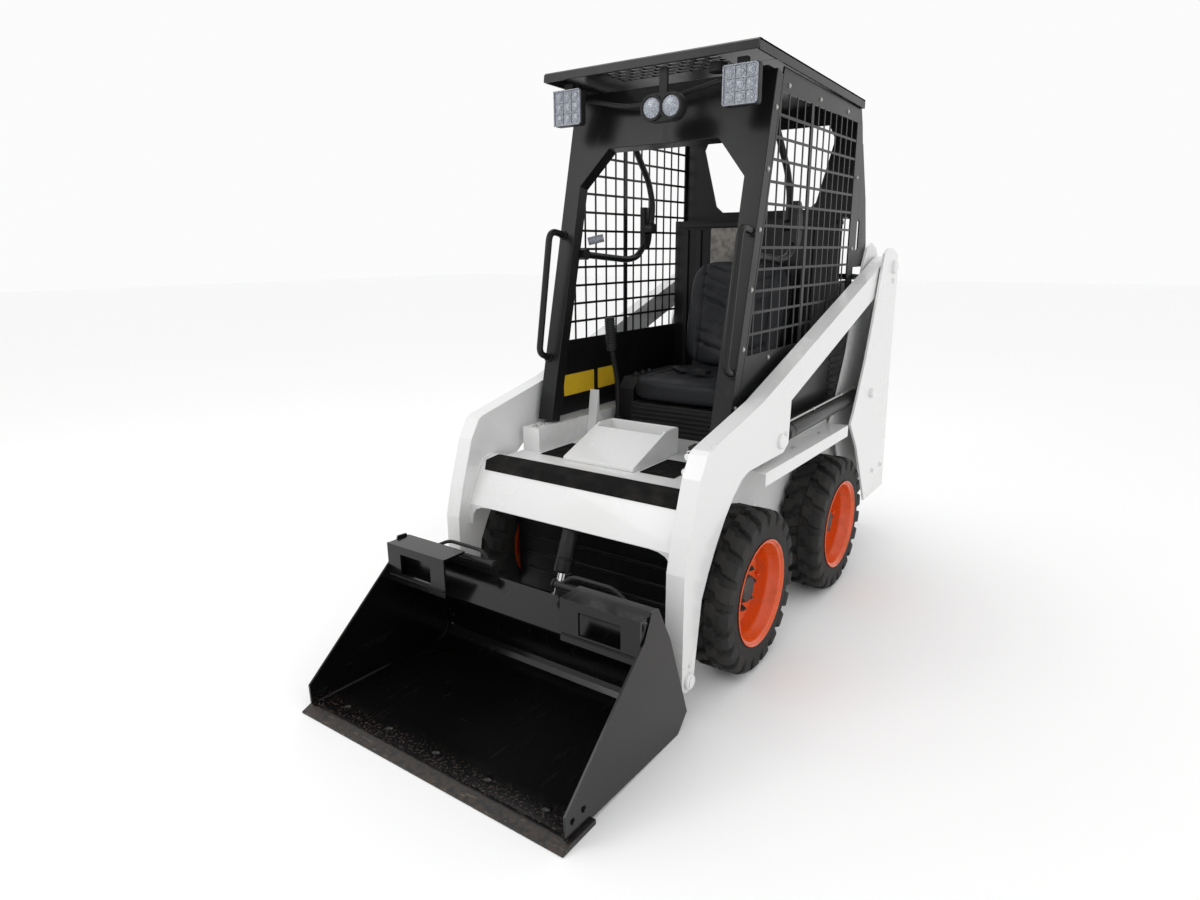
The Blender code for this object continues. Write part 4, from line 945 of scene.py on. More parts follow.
def work_light_face(side):
    """Silvered bezel with nine square reflector cups."""
    low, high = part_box("work_light_left")
    x, z = side * (low.x + high.x) / 2, 1.7085
    shapes = [prism(rounded_rectangle(x, z, 0.0535, 0.0535, 0.009), "XZ", -0.159, -0.155)]
    for offset in (-0.0515, 0.0515):
        shapes.append(
            box((x + offset - 0.002, -0.1632, z - 0.0535), (x + offset + 0.002, -0.158, z + 0.0535))
        )
        shapes.append(
            box((x - 0.0535, -0.1632, z + offset - 0.002), (x + 0.0535, -0.158, z + offset + 0.002))
        )
    for offset in (-0.0165, 0.0165):
        shapes.append(
            box((x + offset - 0.0012, -0.1622, z - 0.050), (x + offset + 0.0012, -0.158, z + 0.050))
        )
        shapes.append(
            box((x - 0.050, -0.1622, z + offset - 0.0012), (x + 0.050, -0.158, z + offset + 0.0012))
        )
    return shapes


def work_light_lenses(side):
    low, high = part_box("work_light_left")
    x, z = side * (low.x + high.x) / 2, 1.7085
    shapes = []
    for i in (-1, 0, 1):
        for k in (-1, 0, 1):
            at = (x + i * 0.033, -0.1588, z + k * 0.033)
            shapes.append(
                lump(
                    [(0, 0), (0.0125, 0), (0.0120, 0.0018), (0.0070, 0.0036), (0, 0.0042)], at, (0, -1, 0),
                    20
                )
            )
    return shapes


def capsule(x, z, half, radius, steps=14):
    right = np.linspace(-math.pi / 2, math.pi / 2, steps)
    outline = [(x + half + radius * math.cos(t), z + radius * math.sin(t)) for t in right]
    return outline + [(x - half - radius * math.cos(t), z - radius * math.sin(t)) for t in right]


def twin_lamp():
    """Oval housing with two round barrels and its strap."""
    x, z = 0.060, 1.672
    shapes = [prism(capsule(x, z, 0.033, 0.0405), "XZ", -0.175, -0.146)]
    for offset in (-0.033, 0.033):
        ring = [(0.0385, 0), (0.0385, 0.010), (0.0350, 0.0125), (0.0300, 0.0110), (0.0290, 0)]
        shapes.append(turned(ring, (x + offset, -0.1705, z), (0, -1, 0), 40))
    shapes.append(box((x - 0.014, -0.168, z + 0.02), (x + 0.014, -0.157, roof_z(-0.16) - 0.001)))
    return shapes


def twin_lamp_lenses():
    x, z = 0.060, 1.672
    profile = [(0, 0), (0.029, 0), (0.029, 0.004), (0.022, 0.0065), (0.010, 0.0082), (0, 0.0085)]
    return [lump(profile, (x + offset, -0.1740, z), (0, -1, 0), 32) for offset in (-0.033, 0.033)]


def grab_handle(side):
    """Round bar bent out from the post, with welded feet."""
    x = side * 0.348
    high, low, radius = 1.312, 0.902, 0.0112
    path = [
        (x, post_y(high) - 0.001, high), (x, post_y(high) - 0.074, high + 0.014),
        (x, post_y(low) - 0.050, low + 0.018), (x, post_y(low) - 0.001, low),
    ]
    shapes = [tube(rounded(path, 0.045, 8), radius, 20)]
    for z in (high, low):
        foot = (x, post_y(z) - 0.0012, z)
        shapes.append(drum(foot, (x, post_y(z) - 0.006, z + 0.001), 0.0165, 20))
    return shapes


def seat_bar_rail(side):
    """Side rail with its clamp, and the D-shaped plate that carries the bar's pivot."""
    x, (_, pivot_y, pivot_z) = side * 0.304, JOINTS["seat_bar"]["pos_m"]
    clamp_y = post_y(1.247) + 0.0662
    path = [(x, clamp_y, 1.247), (x, 0.20, 1.225), (x, 0.27, 1.235), (x, pivot_y - 0.005, 1.275)]
    turn = np.linspace(-math.pi / 2, math.pi / 2, 16)
    plate = [(pivot_y + 0.006 + 0.034 * math.cos(t), pivot_z + 0.078 * math.sin(t)) for t in turn]
    plate += [(pivot_y - 0.014, pivot_z + 0.078), (pivot_y - 0.014, pivot_z - 0.078)]
    return [
        tube(rounded(path, 0.05, 8), 0.0118, 20),
        drum((x - 0.020, clamp_y, 1.247), (x + 0.020, clamp_y, 1.247), 0.0188, 24),
        prism(plate, "YZ", side * 0.2935, side * 0.3145),
    ]


def seat_bar():
    """Raised bar: both arms and the cross bar in one bent tube, with a hub at each pivot."""
    (_, pivot_y, pivot_z), arm_x = JOINTS["seat_bar"]["pos_m"], 0.275
    half = [(pivot_y, pivot_z), (pivot_y + 0.012, 1.430), (pivot_y - 0.020, 1.510), (0.160, 1.668)]
    path = [(-arm_x, *p) for p in half] + [(-arm_x + 0.016, 0.145, 1.677), (arm_x - 0.016, 0.145, 1.677)]
    path += [(arm_x, *p) for p in reversed(half)]
    shapes = [tube(rounded(path, 0.03, 6), 0.0113, 20)]
    for side in (-1, 1):
        start, end = (side * 0.2605, pivot_y, pivot_z), (side * 0.2925, pivot_y, pivot_z)
        shapes.append(drum(start, end, 0.0198, 28))
    pad = [(-0.16, 0.145, 1.677), (0.16, 0.145, 1.677)]
    steps = np.linspace(0, 1, 5)[:, None]
    shapes.append(tube(np.array(pad[0]) * (1 - steps) + np.array(pad[1]) * steps, 0.0165, 24))
    return shapes


def clamp_knob():
    """Knurled grey knob on the right-hand clamp."""
    at = np.array([-0.290, post_y(1.30) + 0.068, 1.290])
    count = 40
    h = np.linspace(0, 0.055, count)
    r = 0.0135 + 0.0009 * np.sign(np.sin(h * 2 * math.pi / 0.0055))
    path = at + np.outer(h, [0.8, 0.55, 0.22])
    return [tube(path, r, 20)]


def steering_lever(side):
    """Bent lever with a ribbed grip and a pleated boot."""
    x = side * 0.250
    stem = [(x, 0.055, 0.61), (x, 0.055, 0.78), (x, 0.018, 0.90), (x, 0.012, 0.93)]
    h = np.linspace(0, 1, 90)
    grip = np.outer(1 - h, (x, 0.0125, 0.905)) + np.outer(h, (x, 0.000, 1.028))
    ripple = 0.0168 + 0.0022 * np.abs(np.sin(h * math.pi * 13))
    ripple[:3] *= (0.8, 0.92, 0.98)
    ripple[-4:] *= (0.98, 0.9, 0.75, 0.5)
    boot_h = np.linspace(0, 1, 40)
    boot_path = np.outer(1 - boot_h, (x, 0.055, 0.6006)) + np.outer(boot_h, (x, 0.055, 0.655))
    boot = (0.030 - 0.017 * boot_h) * (1 + 0.10 * np.sin(boot_h * math.pi * 9))
    return [tube(rounded(stem, 0.05, 8), 0.0095, 14), tube(grip, ripple, 22), tube(boot_path, boot, 24)]


def seat_cushion():
    """Crowned cushion with side bolsters and cross seams."""

    def channels(x, y):
        seams = sum(0.0055 * np.exp(-(((y - line) / 0.0055) ** 2)) for line in (-0.10, 0.02, 0.14))
        sides = 0.0065 * np.exp(-(((np.abs(x) - 0.150) / 0.006) ** 2))
        dish = 0.014 * np.exp(-((x / 0.11) ** 2) - ((y / 0.17) ** 2))
        return seams * (np.abs(x) < 0.156) + sides + dish

    return [pillow((0.214, 0.228, 0.0492), (0, 0.281, 0.7645), 0.40, 0.42, (64, 128), channels)]


def seat_back():
    """Back pad with slanting sewn channels between two bolsters."""

    def channels(x, y):
        seams = 0
        for line in np.arange(-0.16, 0.20, 0.045):
            seams = seams + 0.006 * np.exp(-(((y - line - 0.30 * np.abs(x)) / 0.0055) ** 2))
        sides = 0.008 * np.exp(-(((np.abs(x) - 0.145) / 0.006) ** 2))
        return seams * (np.abs(x) < 0.150) + sides

    return [pillow((0.204, 0.205, 0.0330), (0, 0.5240, 1.0105), 0.40, 0.42, (64, 160), channels, 78.2)]


def seat_belt():
    """Lap belt lying along each side of the cushion, with its buckle."""
    shapes = []
    for side in (-1, 1):
        path = [
            (side * 0.205, 0.46, 0.745), (side * 0.190, 0.40, 0.806), (side * 0.150, 0.30, 0.8225),
            (side * 0.07, 0.24, 0.8140)
        ]
        curve = rounded(path, 0.05, 8)
        across = np.array([0.0, 0.0225, 0.0])
        rows = np.stack([curve - across, curve - across * 0.3, curve + across * 0.3, curve + across], axis=1)
        under = rows - np.array([0, 0, 0.0016])
        shapes.append(outwards(grid(np.concatenate([rows, under[:, ::-1]], axis=1), False, True)))
    shapes.append(box((-0.03, 0.215, 0.812), (0.03, 0.265, 0.826)))
    return shapes


def seat_ribs():
    """Bellows of the seat's suspension, under the cushion's front."""
    shapes = []
    for i in range(6):
        z = 0.612 + i * 0.0165
        shapes.append(box((-0.190, 0.0525, z), (0.190, 0.0605, z + 0.009)))
    return shapes


def cab_plates():
    """Blank plates: two on the right sill inside, one on the back wall."""
    x = -0.3558
    yellow = [
        prism(rounded_rectangle(-0.045, 0.786, 0.093, 0.038, 0.004), "YZ", x, x + 0.0011),
        prism(rounded_rectangle(0.140, 0.786, 0.066, 0.038, 0.004), "YZ", x, x + 0.0011),
    ]
    grey = [prism(rounded_rectangle(-0.125, 1.262, 0.062, 0.083, 0.004), "XZ", 0.6522, 0.6537)]
    return yellow, grey


def interior_trim():
    """Padding ribs on the back wall, a ledge along the top of the back wall and small switches on the consoles."""
    shapes = []
    for x in (-0.30, -0.24, 0.24, 0.30):
        shapes.append(box((x - 0.010, 0.6455, 0.72), (x + 0.010, 0.6538, 1.34)))
    shapes.append(box((-0.335, 0.640, 1.350), (0.335, 0.7350, 1.3655)))
    for side in (-1, 1):
        for i in range(3):
            y = 0.18 + 0.05 * i
            shapes.append(
                lump(
                    [(0, 0), (0.011, 0), (0.011, 0.006), (0.006, 0.016), (0, 0.018)],
                    (side * 0.25, y, 0.7895), (0, 0, 1), 16
                )
            )
    return shapes


def floor_pads():
    """Ribbed rubber pads on the floor, beside the tray."""
    shapes = []
    for x_low, x_high in ((0.125, 0.245), (-0.265, -0.172)):
        shapes.append(box((x_low, -0.385, 0.6004), (x_high, -0.215, 0.6034)))
        for i in range(9):
            y = -0.378 + 0.0185 * i
            shapes.append(box((x_low + 0.005, y, 0.6030), (x_high - 0.005, y + 0.008, 0.6056)))
    return shapes


def make_cab():
    for word, side in SIDES:
        piece("cab_screen_" + word, side_screen(side), "machine", "black_paint", ["cab_side_" + word],
              bevel=0.0008)
        piece("cab_bolts_" + word, cab_bolts(side), "machine", "zinc")
        piece("work_lamp_" + word, work_light(side), "machine", "black_plastic",
              ["work_light_" + word], bevel=0.0012)
        piece(
            "work_lamp_bezel_" + word, work_light_face(side), "machine", "lamp_grey",
            bevel=0.0006
        )
        piece("work_lamp_lenses_" + word, work_light_lenses(side), "machine", "lens_clear")
        piece(
            "grab_bar_" + word, grab_handle(side), "machine", "black_paint",
            ["grab_handle_" + word]
        )
        piece("seat_bar_side_" + word, seat_bar_rail(side), "machine", "black_paint",
              ["seat_bar_rail_" + word])
        piece("drive_lever_" + word, steering_lever(side), "machine", "black_plastic",
              ["steering_lever_" + word])
    piece("roof_panel", roof(), "machine", "black_paint", ["cab_roof"], bevel=0.001)
    piece("roof_stiffeners", roof_underside(), "machine", "black_plastic", bevel=0.001)
    piece(
        "twin_lamp_housing", twin_lamp(), "machine", "black_plastic", ["twin_lamp"],
        bevel=0.002
    )
    piece("twin_lamp_lenses", twin_lamp_lenses(), "machine", "lens_clear")
    piece("lap_bar", seat_bar(), "seat_bar", "black_paint", ["seat_bar"])
    piece("clamp_knob", clamp_knob(), "machine", "lamp_grey")
    yellow, grey = cab_plates()
    piece("sill_plates", yellow, "machine", "yellow_plate")
    piece("wall_plate", grey, "machine", "grey_plate")
    piece("interior_trim", interior_trim(), "machine", "black_plastic", bevel=0.0015)
    piece("floor_pads", floor_pads(), "machine", "grip_tape", bevel=0.0006)


def make_seat():
    cushion = piece(
        "seat_pad", seat_cushion(), "machine", "black_vinyl", ["seat_cushion"], sharp=60
    )
    back = piece("back_pad", seat_back(), "machine", "black_vinyl", ["seat_back"], sharp=60)
    piece("seat_bellows", seat_ribs(), "machine", "black_plastic", bevel=0.0015)
    piece("lap_belt", seat_belt(), "machine", "black_plastic")


# ---------------------------------------------------------------- arms and cylinders
def step_strip():
    """Anti-slip strip bent over the cross member's upper front edge."""
    line = np.array([(-0.5590, 0.5730), (-0.5410, 0.5985), (-0.5035, 0.6108), (-0.4980, 0.6108)])
    half = np.array([0.358, 0.368, 0.350, 0.345])
    x = np.linspace(-1, 1, 9)[None, :] * half[:, None]
    out = np.array([(-0.0006, 0.0006), (-0.0006, 0.0010), (-0.0003, 0.0010), (0, 0.0010)])
    layers = []
    for lift in (0.0, 2.4):
        at = line + out * lift
        layers.append(
            np.stack([x, np.broadcast_to(at[:, :1], x.shape), np.broadcast_to(at[:, 1:], x.shape)], axis=2)
        )
    loop = np.concatenate([layers[1], layers[0][::-1]], axis=0)
    points, faces = grid(loop, True, False)
    rows, columns = loop.shape[:2]
    faces.append(tuple(i * columns for i in range(rows)))
    faces.append(tuple(i * columns + columns - 1 for i in reversed(range(rows))))
    return [outwards((points, faces))]


def arm_hardware(side):
    """Pin heads, lock bolts and grease nipples on an arm's outer face."""
    shapes = []
    x = side * 0.4402
    _, q_y, q_z = JOINTS["bucket_tilt"]["pos_m"]
    out = (side, 0, 0)
    head = [(0, 0), (0.0235, 0), (0.0235, 0.0075), (0.0205, 0.0105), (0.008, 0.0110), (0, 0.0110)]
    shapes.append(lump(head, (x, q_y, q_z), out, 32))
    front = JOINTS["lift_rod_slide_left"]["pos_m"]
    shapes.append(lump(head, (x, front[1], front[2]), out, 32))
    shapes += hexagon((x, front[1] + 0.040, front[2] + 0.016), out, 0.0075, 0.0075)
    shapes += hexagon((x, q_y + 0.006, q_z + 0.046), out, 0.0060, 0.0060)
    return shapes


def arm_welds(side):
    """Weld beads where the knee gusset and the cross member meet an arm."""
    x = side * 0.3832
    member = [
        (x, -0.6150, 0.425), (x, -0.6150, 0.470), (x, -0.5590, 0.577), (x, -0.5410, 0.6005),
        (x, -0.5030, 0.6120)
    ]
    return [bead(member, 0.0032, 0.0060)]


def tower_hardware(side):
    """Pin heads and bolts on a tower's outer plate."""
    x = side * 0.4552
    out = (side, 0, 0)
    _, p_y, p_z = JOINTS["lift_arm"]["pos_m"]
    _, b_y, b_z = JOINTS["lift_barrel_swing_left"]["pos_m"]
    head = [(0, 0.0), (0.026, 0.0), (0.026, 0.010), (0.023, 0.0135), (0.009, 0.0140), (0, 0.0140)]
    shapes = [lump(head, (x, p_y, p_z), out, 36)]
    shapes.append(lump([(r * 0.72, h) for r, h in head], (x, b_y, b_z), out, 32))
    for y, z in ((p_y + 0.004, p_z - 0.055), (b_y + 0.034, b_z), (0.98, 0.33), (1.10, 0.33)):
        shapes += hexagon((x, y, z), out, 0.0085, 0.0080)
    return shapes


def lift_barrel(side):
    """Barrel with a gland nut, end cap and rear eye."""
    x = side * 0.412
    start = np.array(JOINTS["lift_barrel_swing_left"]["pos_m"][1:])
    end = np.array(JOINTS["lift_rod_slide_left"]["pos_m"][1:])
    along = (end - start) / np.linalg.norm(end - start)
    centre = (x, *start)
    direction = (0, *along)
    inside = 0.0132
    profile = [
        (inside, 0.040), (0.0240, 0.028), (0.0262, 0.032), (0.0262, 0.770), (0.0245, 0.772), (0.0245, 0.776),
        (0.0265, 0.778), (0.0265, 0.812), (0.0235, 0.816), (0.0180, 0.8195), (inside, 0.8195),
    ]
    shapes = [turned(profile, centre, direction, 36)]
    eye = [(0.0137, -0.011), (0.0228, -0.011), (0.0228, 0.011), (0.0137, 0.011)]
    shapes.append(turned(eye, centre, (1, 0, 0), 32))
    shapes.append(
        drum(
            np.array(centre) + 0.018 * np.array(direction), np.array(centre) + 0.040 * np.array(direction),
            0.0125, 20
        )
    )
    return shapes


def barrel_line(side):
    """Steel oil line along the top of a lift barrel, with its two fittings."""
    x = side * 0.412
    start = np.array(JOINTS["lift_barrel_swing_left"]["pos_m"][1:])
    end = np.array(JOINTS["lift_rod_slide_left"]["pos_m"][1:])
    along = (end - start) / np.linalg.norm(end - start)
    up = np.array([along[1], -along[0]])
    up = up if up[1] > 0 else -up

    def at(distance, height):
        y, z = start + along * distance + up * height
        return (x, y, z)

    path = [at(0.790, 0.024), at(0.790, 0.0335), at(0.740, 0.0335), at(0.110, 0.0335), at(0.085, 0.0335)]
    shapes = [
        tube(rounded(path, 0.012, 6), 0.0042, 12), drum(at(0.790, 0.018), at(0.790, 0.0330), 0.0075, 12)
    ]
    shapes.append(drum(at(0.085, 0.020), at(0.085, 0.0340), 0.0075, 12))
    for distance in (0.25, 0.55):
        shapes.append(drum(at(distance - 0.006, 0.0335), at(distance + 0.006, 0.0335), 0.0064, 12))
    return shapes


def rod(x, base, eye, radius, reach, eye_radius, width):
    """Chromed rod and its forged eye."""
    base, eye = np.array(base, float), np.array(eye, float)
    along = (base - eye) / np.linalg.norm(base - eye)
    start, end = eye + along * eye_radius * 0.7, eye + along * reach
    shapes = [drum((x, *start), (x, *end), radius, 28)]
    profile = [(0.006, -width / 2), (eye_radius, -width / 2), (eye_radius, width / 2), (0.006, width / 2)]
    shapes.append(turned(profile, (x, *eye), (1, 0, 0), 32))
    return shapes


def tilt_cylinder():
    """Barrel, gland and upper eye of the tilt cylinder."""
    start = np.array(JOINTS["tilt_barrel_swing"]["pos_m"][1:])
    end = np.array(JOINTS["tilt_rod_slide"]["pos_m"][1:])
    along = (end - start) / np.linalg.norm(end - start)
    inside = 0.0142
    profile = [
        (inside, 0.040), (0.0260, 0.027), (0.0286, 0.031), (0.0286, 0.222), (0.0268, 0.224), (0.0268, 0.228),
        (0.0289, 0.230), (0.0289, 0.263), (0.0255, 0.267), (0.0190, 0.2695), (inside, 0.2695),
    ]
    shapes = [turned(profile, (0, *start), (0, *along), 36)]
    eye = [(0.0137, -0.011), (0.0228, -0.011), (0.0228, 0.011), (0.0137, 0.011)]
    shapes.append(turned(eye, (0, *start), (1, 0, 0), 32))
    centre = np.array((0, *start))
    shapes.append(
        drum(centre + 0.018 * np.array((0, *along)), centre + 0.036 * np.array((0, *along)), 0.0125, 20)
    )
    return shapes


def couplers():
    """Quick couplers on the left arm's inner side: a block, two sleeves with collars and dust caps."""
    low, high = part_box("hydraulic_couplers")
    x = (low.x + high.x) / 2
    shapes = []
    for z, reach in ((0.715, 0.043), (0.675, 0.058)):
        profile = [(0, 0), (0.0118, 0), (0.0118, 0.010), (0.0148, 0.012), (0.0148, 0.026), (0.0122, 0.028)]
        profile += [(0.0122, reach - 0.006), (0.0095, reach), (0, reach)]
        shapes.append(lump(profile, (x, -0.4755, z), (0, -1, 0), 28))
    return shapes


def coupler_block():
    low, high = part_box("hydraulic_couplers")
    block = [box((low.x + 0.001, -0.4755, 0.657), (high.x, -0.436, 0.733))]
    for z in (0.715, 0.675):
        block.append(drum(((low.x + high.x) / 2, -0.440, z), ((low.x + high.x) / 2, -0.4355, z), 0.012, 6))
    return block


def make_arms():
    piece("step_strip", step_strip(), "lift_arm", "grip_tape")
    piece("coupler_sleeves", couplers(), "lift_arm", "chrome", ["hydraulic_couplers"])
    piece("coupler_block", coupler_block(), "lift_arm", "black_paint", bevel=0.001)
    piece("tilt_cylinder", tilt_cylinder(), "tilt_barrel", "black_paint", ["tilt_barrel"])
    top, low_pin = JOINTS["tilt_barrel_swing"]["pos_m"][1:], JOINTS["tilt_rod_slide"]["pos_m"][1:]
    piece(
        "tilt_ram", rod(0, top, low_pin, 0.0133, 0.297, 0.0188, 0.0218), "tilt_rod", "chrome",
        ["tilt_rod"]
    )
    for word, side in SIDES:
        piece("arm_pins_" + word, arm_hardware(side), "lift_arm", "white_paint")
        piece("arm_welds_" + word, arm_welds(side), "lift_arm", "white_paint")
        piece("tower_pins_" + word, tower_hardware(side), "machine", "white_paint")
        piece("lift_cylinder_" + word, lift_barrel(side), "lift_barrel_" + word, "black_paint",
              ["lift_barrel_" + word])
        piece("oil_line_" + word, barrel_line(side), "lift_barrel_" + word, "zinc")
        base = JOINTS["lift_barrel_swing_" + word]["pos_m"]
        eye = JOINTS["lift_rod_slide_" + word]["pos_m"]
        piece("lift_ram_" + word, rod(base[0], base[1:], eye[1:], 0.0124, 0.719, 0.0228, 0.0218),
              "lift_rod_" + word, "chrome", ["lift_rod_" + word])


# ---------------------------------------------------------------- bucket
def bucket_welds():
    """Beads inside the bucket along its side plates, and under the frame plates."""
    shapes = []
    for side in (-1, 1):
        x = side * 0.4495
        floor = [
            (x, -1.185, 0.0225), (x, -0.720, 0.0080), (x, -0.690, 0.0190), (x, -0.672, 0.0500),
            (x, -0.792, 0.337)
        ]
        shapes.append(bead(floor, 0.0036, 0.0075))
        lip = [(x, -0.795, 0.3400), (x, -0.893, 0.3030)]
        shapes.append(bead(lip, 0.0034, 0.0070))
        frame_edge = [(side * 0.212, -0.8985, 0.3105), (side * 0.446, -0.8985, 0.3105)]
        shapes.append(bead(frame_edge, 0.0030, 0.0065))
    return shapes


def blade_bolts():
    """Countersunk bolts through the blade, and bolt heads on the side plates beside it."""
    shapes = []
    for x in (-0.36, -0.18, 0.0, 0.18, 0.36):
        profile = [(0, 0), (0.0125, 0), (0.0125, 0.0020), (0.0090, 0.0042), (0, 0.0045)]
        shapes.append(lump(profile, (x, -1.150, 0.0205), (0, 0.03, 1), 24))
    for side in (-1, 1):
        for y in (-1.176, -1.135):
            shapes += hexagon((side * 0.4570, y, 0.052 + (y + 1.176) * 0.1), (side, 0, 0), 0.0065, 0.0050)
    return shapes


def coupler_lever(side):
    """Latch lever along the top of a coupler wing, with its wire grip."""
    foot, head = np.array((-0.663, 0.046)), np.array((-0.788, 0.345))
    up = (head - foot) / np.linalg.norm(head - foot)
    back = np.array([up[1], -up[0]])
    bar_y, bar_z = foot + up * 0.3623 + back * 0.008
    shapes = [drum((side * 0.105, bar_y, bar_z), (side * 0.378, bar_y, bar_z), 0.0098, 20)]
    grip = [
        (side * 0.130, bar_y, bar_z), (side * 0.165, bar_y + 0.009, bar_z + 0.030),
        (side * 0.300, bar_y + 0.009, bar_z + 0.030), (side * 0.360, bar_y, bar_z),
    ]
    shapes.append(tube(rounded(grip, 0.02, 6), 0.0055, 12))
    for x in (0.108, 0.370):
        shapes.append(drum((side * x, bar_y, bar_z), (side * (x + 0.006), bar_y, bar_z), 0.0135, 20))
    return shapes


def make_bucket():
    piece("bucket_welds", bucket_welds(), "bucket", "bucket_black")
    piece("blade_bolts", blade_bolts(), "bucket", "bucket_black")
    for word, side in SIDES:
        piece("latch_lever_" + word, coupler_lever(side), "bucket", "black_paint",
              ["coupler_lever_" + word])


# ---------------------------------------------------------------- chassis and rear
def louvres(x_low, x_high, z_low, z_high, face_y, count):
    """Pressed louvres: each is a curved lip that stands out from the panel and falls back to it."""
    shapes = []
    pitch = (z_high - z_low) / count
    for i in range(count):
        z = z_low + i * pitch
        outline = [(face_y - 0.001, z), (face_y + 0.0075, z + 0.002), (face_y + 0.0080, z + 0.004)]
        outline += [(face_y + 0.0040, z + pitch * 0.55), (face_y - 0.001, z + pitch * 0.62)]
        shapes.append(prism(outline, "YZ", x_low, x_high))
    return shapes


def door_trim():
    """Louvres and latch plate. The recess holds the louvres."""
    _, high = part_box("rear_door")
    face = high.y - 0.0082
    shapes = louvres(-0.27, -0.02, 0.62, 1.02, face, 11) + louvres(0.02, 0.27, 0.62, 1.02, face, 11)
    shapes.append(
        prism(rounded_rectangle(0.345, 0.70, 0.012, 0.055, 0.006), "XZ", high.y - 0.0005, high.y - 0.0001)
    )
    return shapes


def door_black():
    """Recessed latch handle on the rear door."""
    _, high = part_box("rear_door")
    y = high.y
    shapes = [prism(rounded_rectangle(0.25, 0.46, 0.030, 0.050, 0.010), "XZ", y - 0.0085, y - 0.0030)]
    shapes.append(
        tube(
            rounded(
                [
                    (0.25, y - 0.006, 0.43), (0.25, y - 0.0015, 0.44), (0.25, y - 0.0015, 0.48),
                    (0.25, y - 0.006, 0.49)
                ],
                0.006
            ),
            0.0014, 10
        )
    )
    return shapes


def tail_lamps():
    _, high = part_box("rear_door")
    shapes = []
    for x in (-0.27, 0.0):
        shapes.append(
            lump(
                [(0, 0), (0.034, 0), (0.034, 0.0035), (0.028, 0.0062), (0, 0.0072)],
                (x, high.y - 0.0082, 0.50), (0, 1, 0), 36
            )
        )
    return shapes


def side_louvres(side):
    """Black louvred air panel on the cab's lower rear corner."""
    shapes = []
    for i in range(9):
        z = 0.712 + i * 0.026
        points = [(0.600, z), (0.768, z), (0.768, z + 0.014), (0.600, z + 0.014)]
        shapes.append(prism(points, "YZ", side * 0.3612, side * 0.3650))
    return shapes


def frame_bolts(side):
    """Bolts along the fender and the rail in front of the cab."""
    shapes = []
    for y in (-0.10, 0.16, 0.42):
        shapes += hexagon((side * 0.404, y, 0.6003), (0, 0, 1), 0.0060, 0.0050)
    for y in (-0.345, -0.305):
        shapes += hexagon((side * 0.320, y, 0.6802), (0, 0, 1), 0.0070, 0.0060)
    return shapes


def engine_grille():
    """Wire guard over the air slots of the engine cover."""
    shapes = []
    for x in np.linspace(-0.26, 0.26, 14):
        path = [(x, 0.84, 1.1640), (x, 1.14, 1.1460)]
        shapes.append(tube(path, 0.0018, 8))
    return shapes


def belly_guard():
    """Black guard over the lower front of the chassis, with pressed ribs."""
    low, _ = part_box("main_frame")
    face, half = low.y, 0.332
    shapes = [box((-half, face - 0.0035, low.z + 0.004), (half, face - 0.0004, 0.405))]
    for z in (0.20, 0.26, 0.32):
        rib = [
            (face - 0.0030, z), (face - 0.0075, z + 0.004), (face - 0.0075, z + 0.010),
            (face - 0.0030, z + 0.014)
        ]
        shapes.append(prism(rib, "YZ", -half + 0.04, half - 0.04))
    return shapes


def make_chassis():
    piece("belly_guard", belly_guard(), "machine", "black_paint", bevel=0.0008)
    piece("door_louvres", door_trim(), "rear_door", "white_paint", bevel=0.0006)
    piece("door_latch", door_black(), "rear_door", "black_plastic")
    piece("tail_lamps", tail_lamps(), "rear_door", "red_lens")
    piece("engine_guard", engine_grille(), "machine", "black_paint")
    for word, side in SIDES:
        piece(
            "air_panel_" + word, side_louvres(side), "machine", "black_plastic", bevel=0.0008
        )
        piece("frame_bolts_" + word, frame_bolts(side), "machine", "zinc")


# ---------------------------------------------------------------- stage
CAMERA_AT = (1.3163, -2.2826, 1.2608)
CAMERA_TURN = tuple(math.radians(angle) for angle in (35.223, 14.741, -0.365))
LENS = 22.79


def make_camera():
    """Camera from its azimuth, elevation and roll."""
    azimuth, elevation, roll = CAMERA_TURN
    back = np.array(
        [
            math.sin(azimuth) * math.cos(elevation), -math.cos(azimuth) * math.cos(elevation),
            math.sin(elevation)
        ]
    )
    right = np.array([math.cos(azimuth), math.sin(azimuth), 0.0])
    up = np.cross(back, right)
    c, s = math.cos(roll), math.sin(roll)
    rows = np.array([[c, s, 0], [-s, c, 0], [0, 0, 1]]) @ np.array([right, up, back])
    data = bpy.data.cameras.new("camera")
    data.lens = LENS
    data.sensor_width = 36
    camera = bpy.data.objects.new("camera", data)
    camera.matrix_world = Matrix.Translation(CAMERA_AT) @ Matrix(rows.T.tolist()).to_4x4()
    bpy.context.scene.collection.objects.link(camera)
    bpy.context.scene.camera = camera


